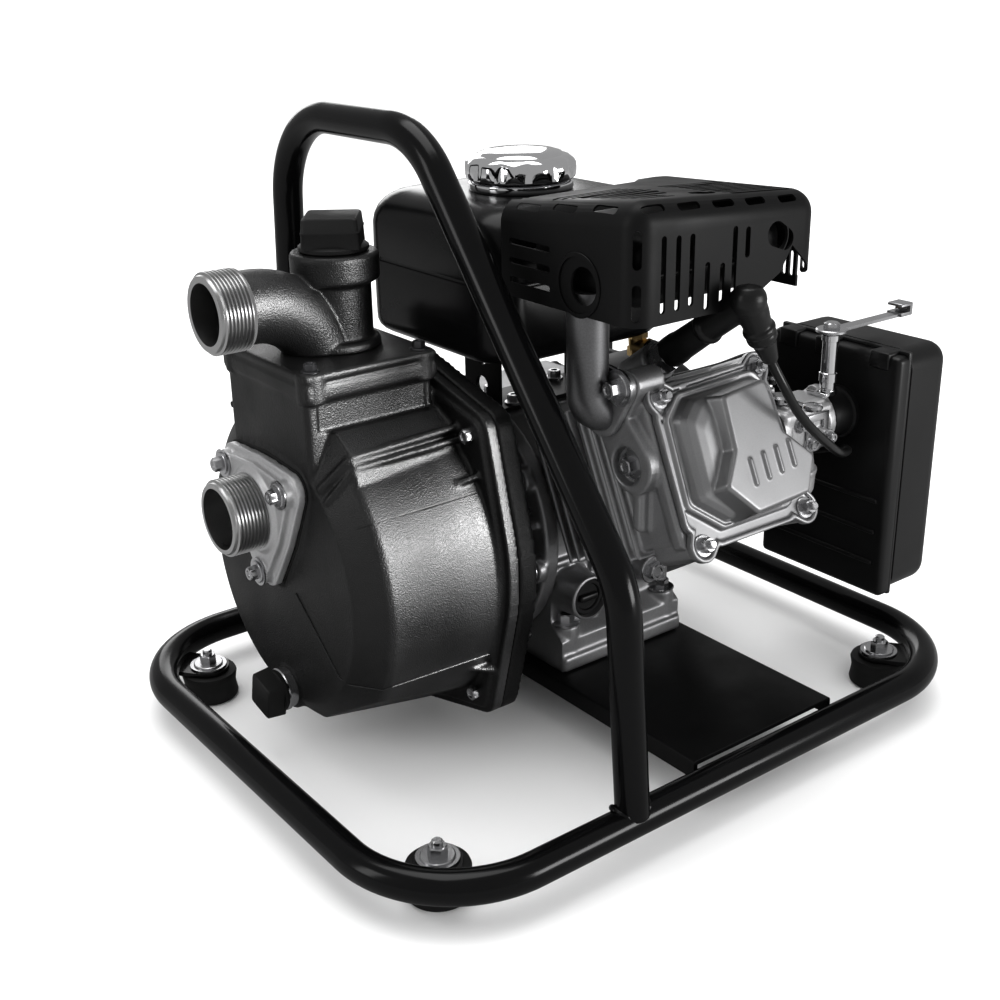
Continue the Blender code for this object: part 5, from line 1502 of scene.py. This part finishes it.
INNER_LOOKS = {
    "shaft_seal": "dark_steel", "main_bearing_pump_side": "zinc", "main_bearing_fan_side": "zinc",
    "crankshaft": "dark_steel", "camshaft": "iron", "flywheel": "iron", "impeller": "iron",
    "volute_case": "iron", "piston": "cast_alu", "con_rod": "cast_alu", "ignition_coil": "plastic",
    "starter_pulley": "plastic", "air_filter": "foam", "check_valve_flap": "rubber",
}


def dress_inner_nodes():
    for name, look in INNER_LOOKS.items():
        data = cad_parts[name].data
        data.materials.clear()
        data.materials.append(LOOKS[look])


# ---------------------------------------------------------------- floor, light and camera

# name: place, target, size (metres), power (watts)
SOFTBOXES = {
    "key": ((0.77, -1.60, 0.38), (-0.05, 0, 0.14), (0.75, 0.5), 10),
    "casing_key": ((0.66, -1.60, 0.62), (-0.12, -0.06, 0.13), (0.9, 0.6), 150),
    "top": ((0.0, 0.3, 2.2), (0, 0, 0), (1.5, 1.5), 16),
    "left": ((-1.9, 0.4, 0.9), (0, 0, 0.2), (0.5, 1.2), 5),
    "rim": ((0.9, 2.2, 0.9), (0, 0, 0.25), (1.6, 0.8), 9),
}

# The brightness of floor and sky, and what a glossy surface mirrors of them
FLOOR_TONE = 0.86
FLOOR_IN_GLOSS = 0.30
SKY = 1.12
SKY_IN_GLOSS = 0.33

# The camera: place (metres), yaw, pitch and roll (degrees), focal length (mm)
VIEW_FROM = (-0.5314, -0.6612, 0.485)
VIEW_TURNS = (36.86, -21.97, -1.11)
VIEW_LENS = 49.35


def build_stage():
    mesh = bpy.data.meshes.new("floor")
    mesh.from_pydata([(-30, -30, 0), (30, -30, 0), (30, 30, 0), (-30, 30, 0)], [], [(0, 1, 2, 3)])
    floor = bpy.data.objects.new("floor", mesh)
    bpy.context.scene.collection.objects.link(floor)
    look = bpy.data.materials.new("floor")
    look.use_nodes = True
    shader = look.node_tree.nodes["Principled BSDF"]
    ray = look.node_tree.nodes.new("ShaderNodeLightPath")
    tone = look.node_tree.nodes.new("ShaderNodeMix")
    tone.data_type = "RGBA"
    tone.inputs["A"].default_value = (FLOOR_TONE, FLOOR_TONE, FLOOR_TONE, 1)
    tone.inputs["B"].default_value = (FLOOR_IN_GLOSS, FLOOR_IN_GLOSS, FLOOR_IN_GLOSS, 1)
    look.node_tree.links.new(ray.outputs["Is Glossy Ray"], tone.inputs["Factor"])
    look.node_tree.links.new(tone.outputs["Result"], shader.inputs["Base Color"])
    shader.inputs["Roughness"].default_value = 0.9
    shader.inputs["Specular IOR Level"].default_value = 0.1
    mesh.materials.append(look)


def softbox(name, at, target, size, power):
    light = bpy.data.lights.new(name, "AREA")
    light.shape = "RECTANGLE"
    light.size, light.size_y = size
    light.energy = power
    made = bpy.data.objects.new(name, light)
    made.location = at
    made.rotation_euler = (Vector(at) - Vector(target)).to_track_quat("Z", "Y").to_euler()
    bpy.context.scene.collection.objects.link(made)


def build_lights():
    for name, light in SOFTBOXES.items():
        softbox(name, *light)
    casing_key = bpy.data.objects["casing_key"]
    lit = bpy.data.collections.new("casing_key_receivers")
    for name in ("casing", "elbow"):
        lit.objects.link(bpy.data.objects[name])
    casing_key.light_linking.receiver_collection = lit
    world = bpy.data.worlds.new("studio")
    bpy.context.scene.world = world
    world.use_nodes = True
    nodes = world.node_tree.nodes
    links = world.node_tree.links
    backdrop = nodes["Background"]
    backdrop.inputs["Color"].default_value = (1, 1, 1, 1)
    ray = nodes.new("ShaderNodeLightPath")
    level = nodes.new("ShaderNodeMapRange")
    level.inputs["To Min"].default_value = SKY
    level.inputs["To Max"].default_value = SKY_IN_GLOSS
    links.new(ray.outputs["Is Glossy Ray"], level.inputs["Value"])
    links.new(level.outputs["Result"], backdrop.inputs["Strength"])


def build_camera():
    yaw, pitch, roll = (math.radians(turn) for turn in VIEW_TURNS)
    ahead = Vector((math.sin(yaw) * math.cos(pitch), math.cos(yaw) * math.cos(pitch), math.sin(pitch)))
    right = Vector((math.cos(yaw), -math.sin(yaw), 0))
    up = right.cross(ahead)
    rolled_right = right * math.cos(roll) + up * math.sin(roll)
    rolled_up = up * math.cos(roll) - right * math.sin(roll)
    data = bpy.data.cameras.new("camera")
    data.lens = VIEW_LENS
    data.sensor_width = 36.0
    camera = bpy.data.objects.new("camera", data)
    axes = Matrix((rolled_right, rolled_up, -ahead)).transposed()
    camera.matrix_world = Matrix.Translation(VIEW_FROM) @ axes.to_4x4()
    bpy.context.scene.collection.objects.link(camera)
    bpy.context.scene.camera = camera
    bpy.context.scene.view_settings.view_transform = "Standard"
    bpy.context.scene.view_settings.look = "Medium High Contrast"


build_camera()
build_stage()
build_frame()
build_feet()
build_handle()
build_welds()
build_plate()
build_casing()
build_bracket()
build_suction()
build_outlet()
build_priming_plug()
build_drain_plug()
build_crankcase()
build_oil_filler()
build_side_cover()
build_head()
build_valve_cover()
build_spark_plug()
build_boot_and_lead()
build_shroud()
build_starter_cover()
build_starter_pull()
build_switch()
build_tank()
build_fuel_cap()
build_tank_stay()
build_tap_and_hose()
build_port_spacer()
build_carburettor()
build_intake_duct()
build_choke()
build_speed_lever()
build_air_box()
build_exhaust()
build_shield()
build_flare()
dress_inner_nodes()
build_lights()
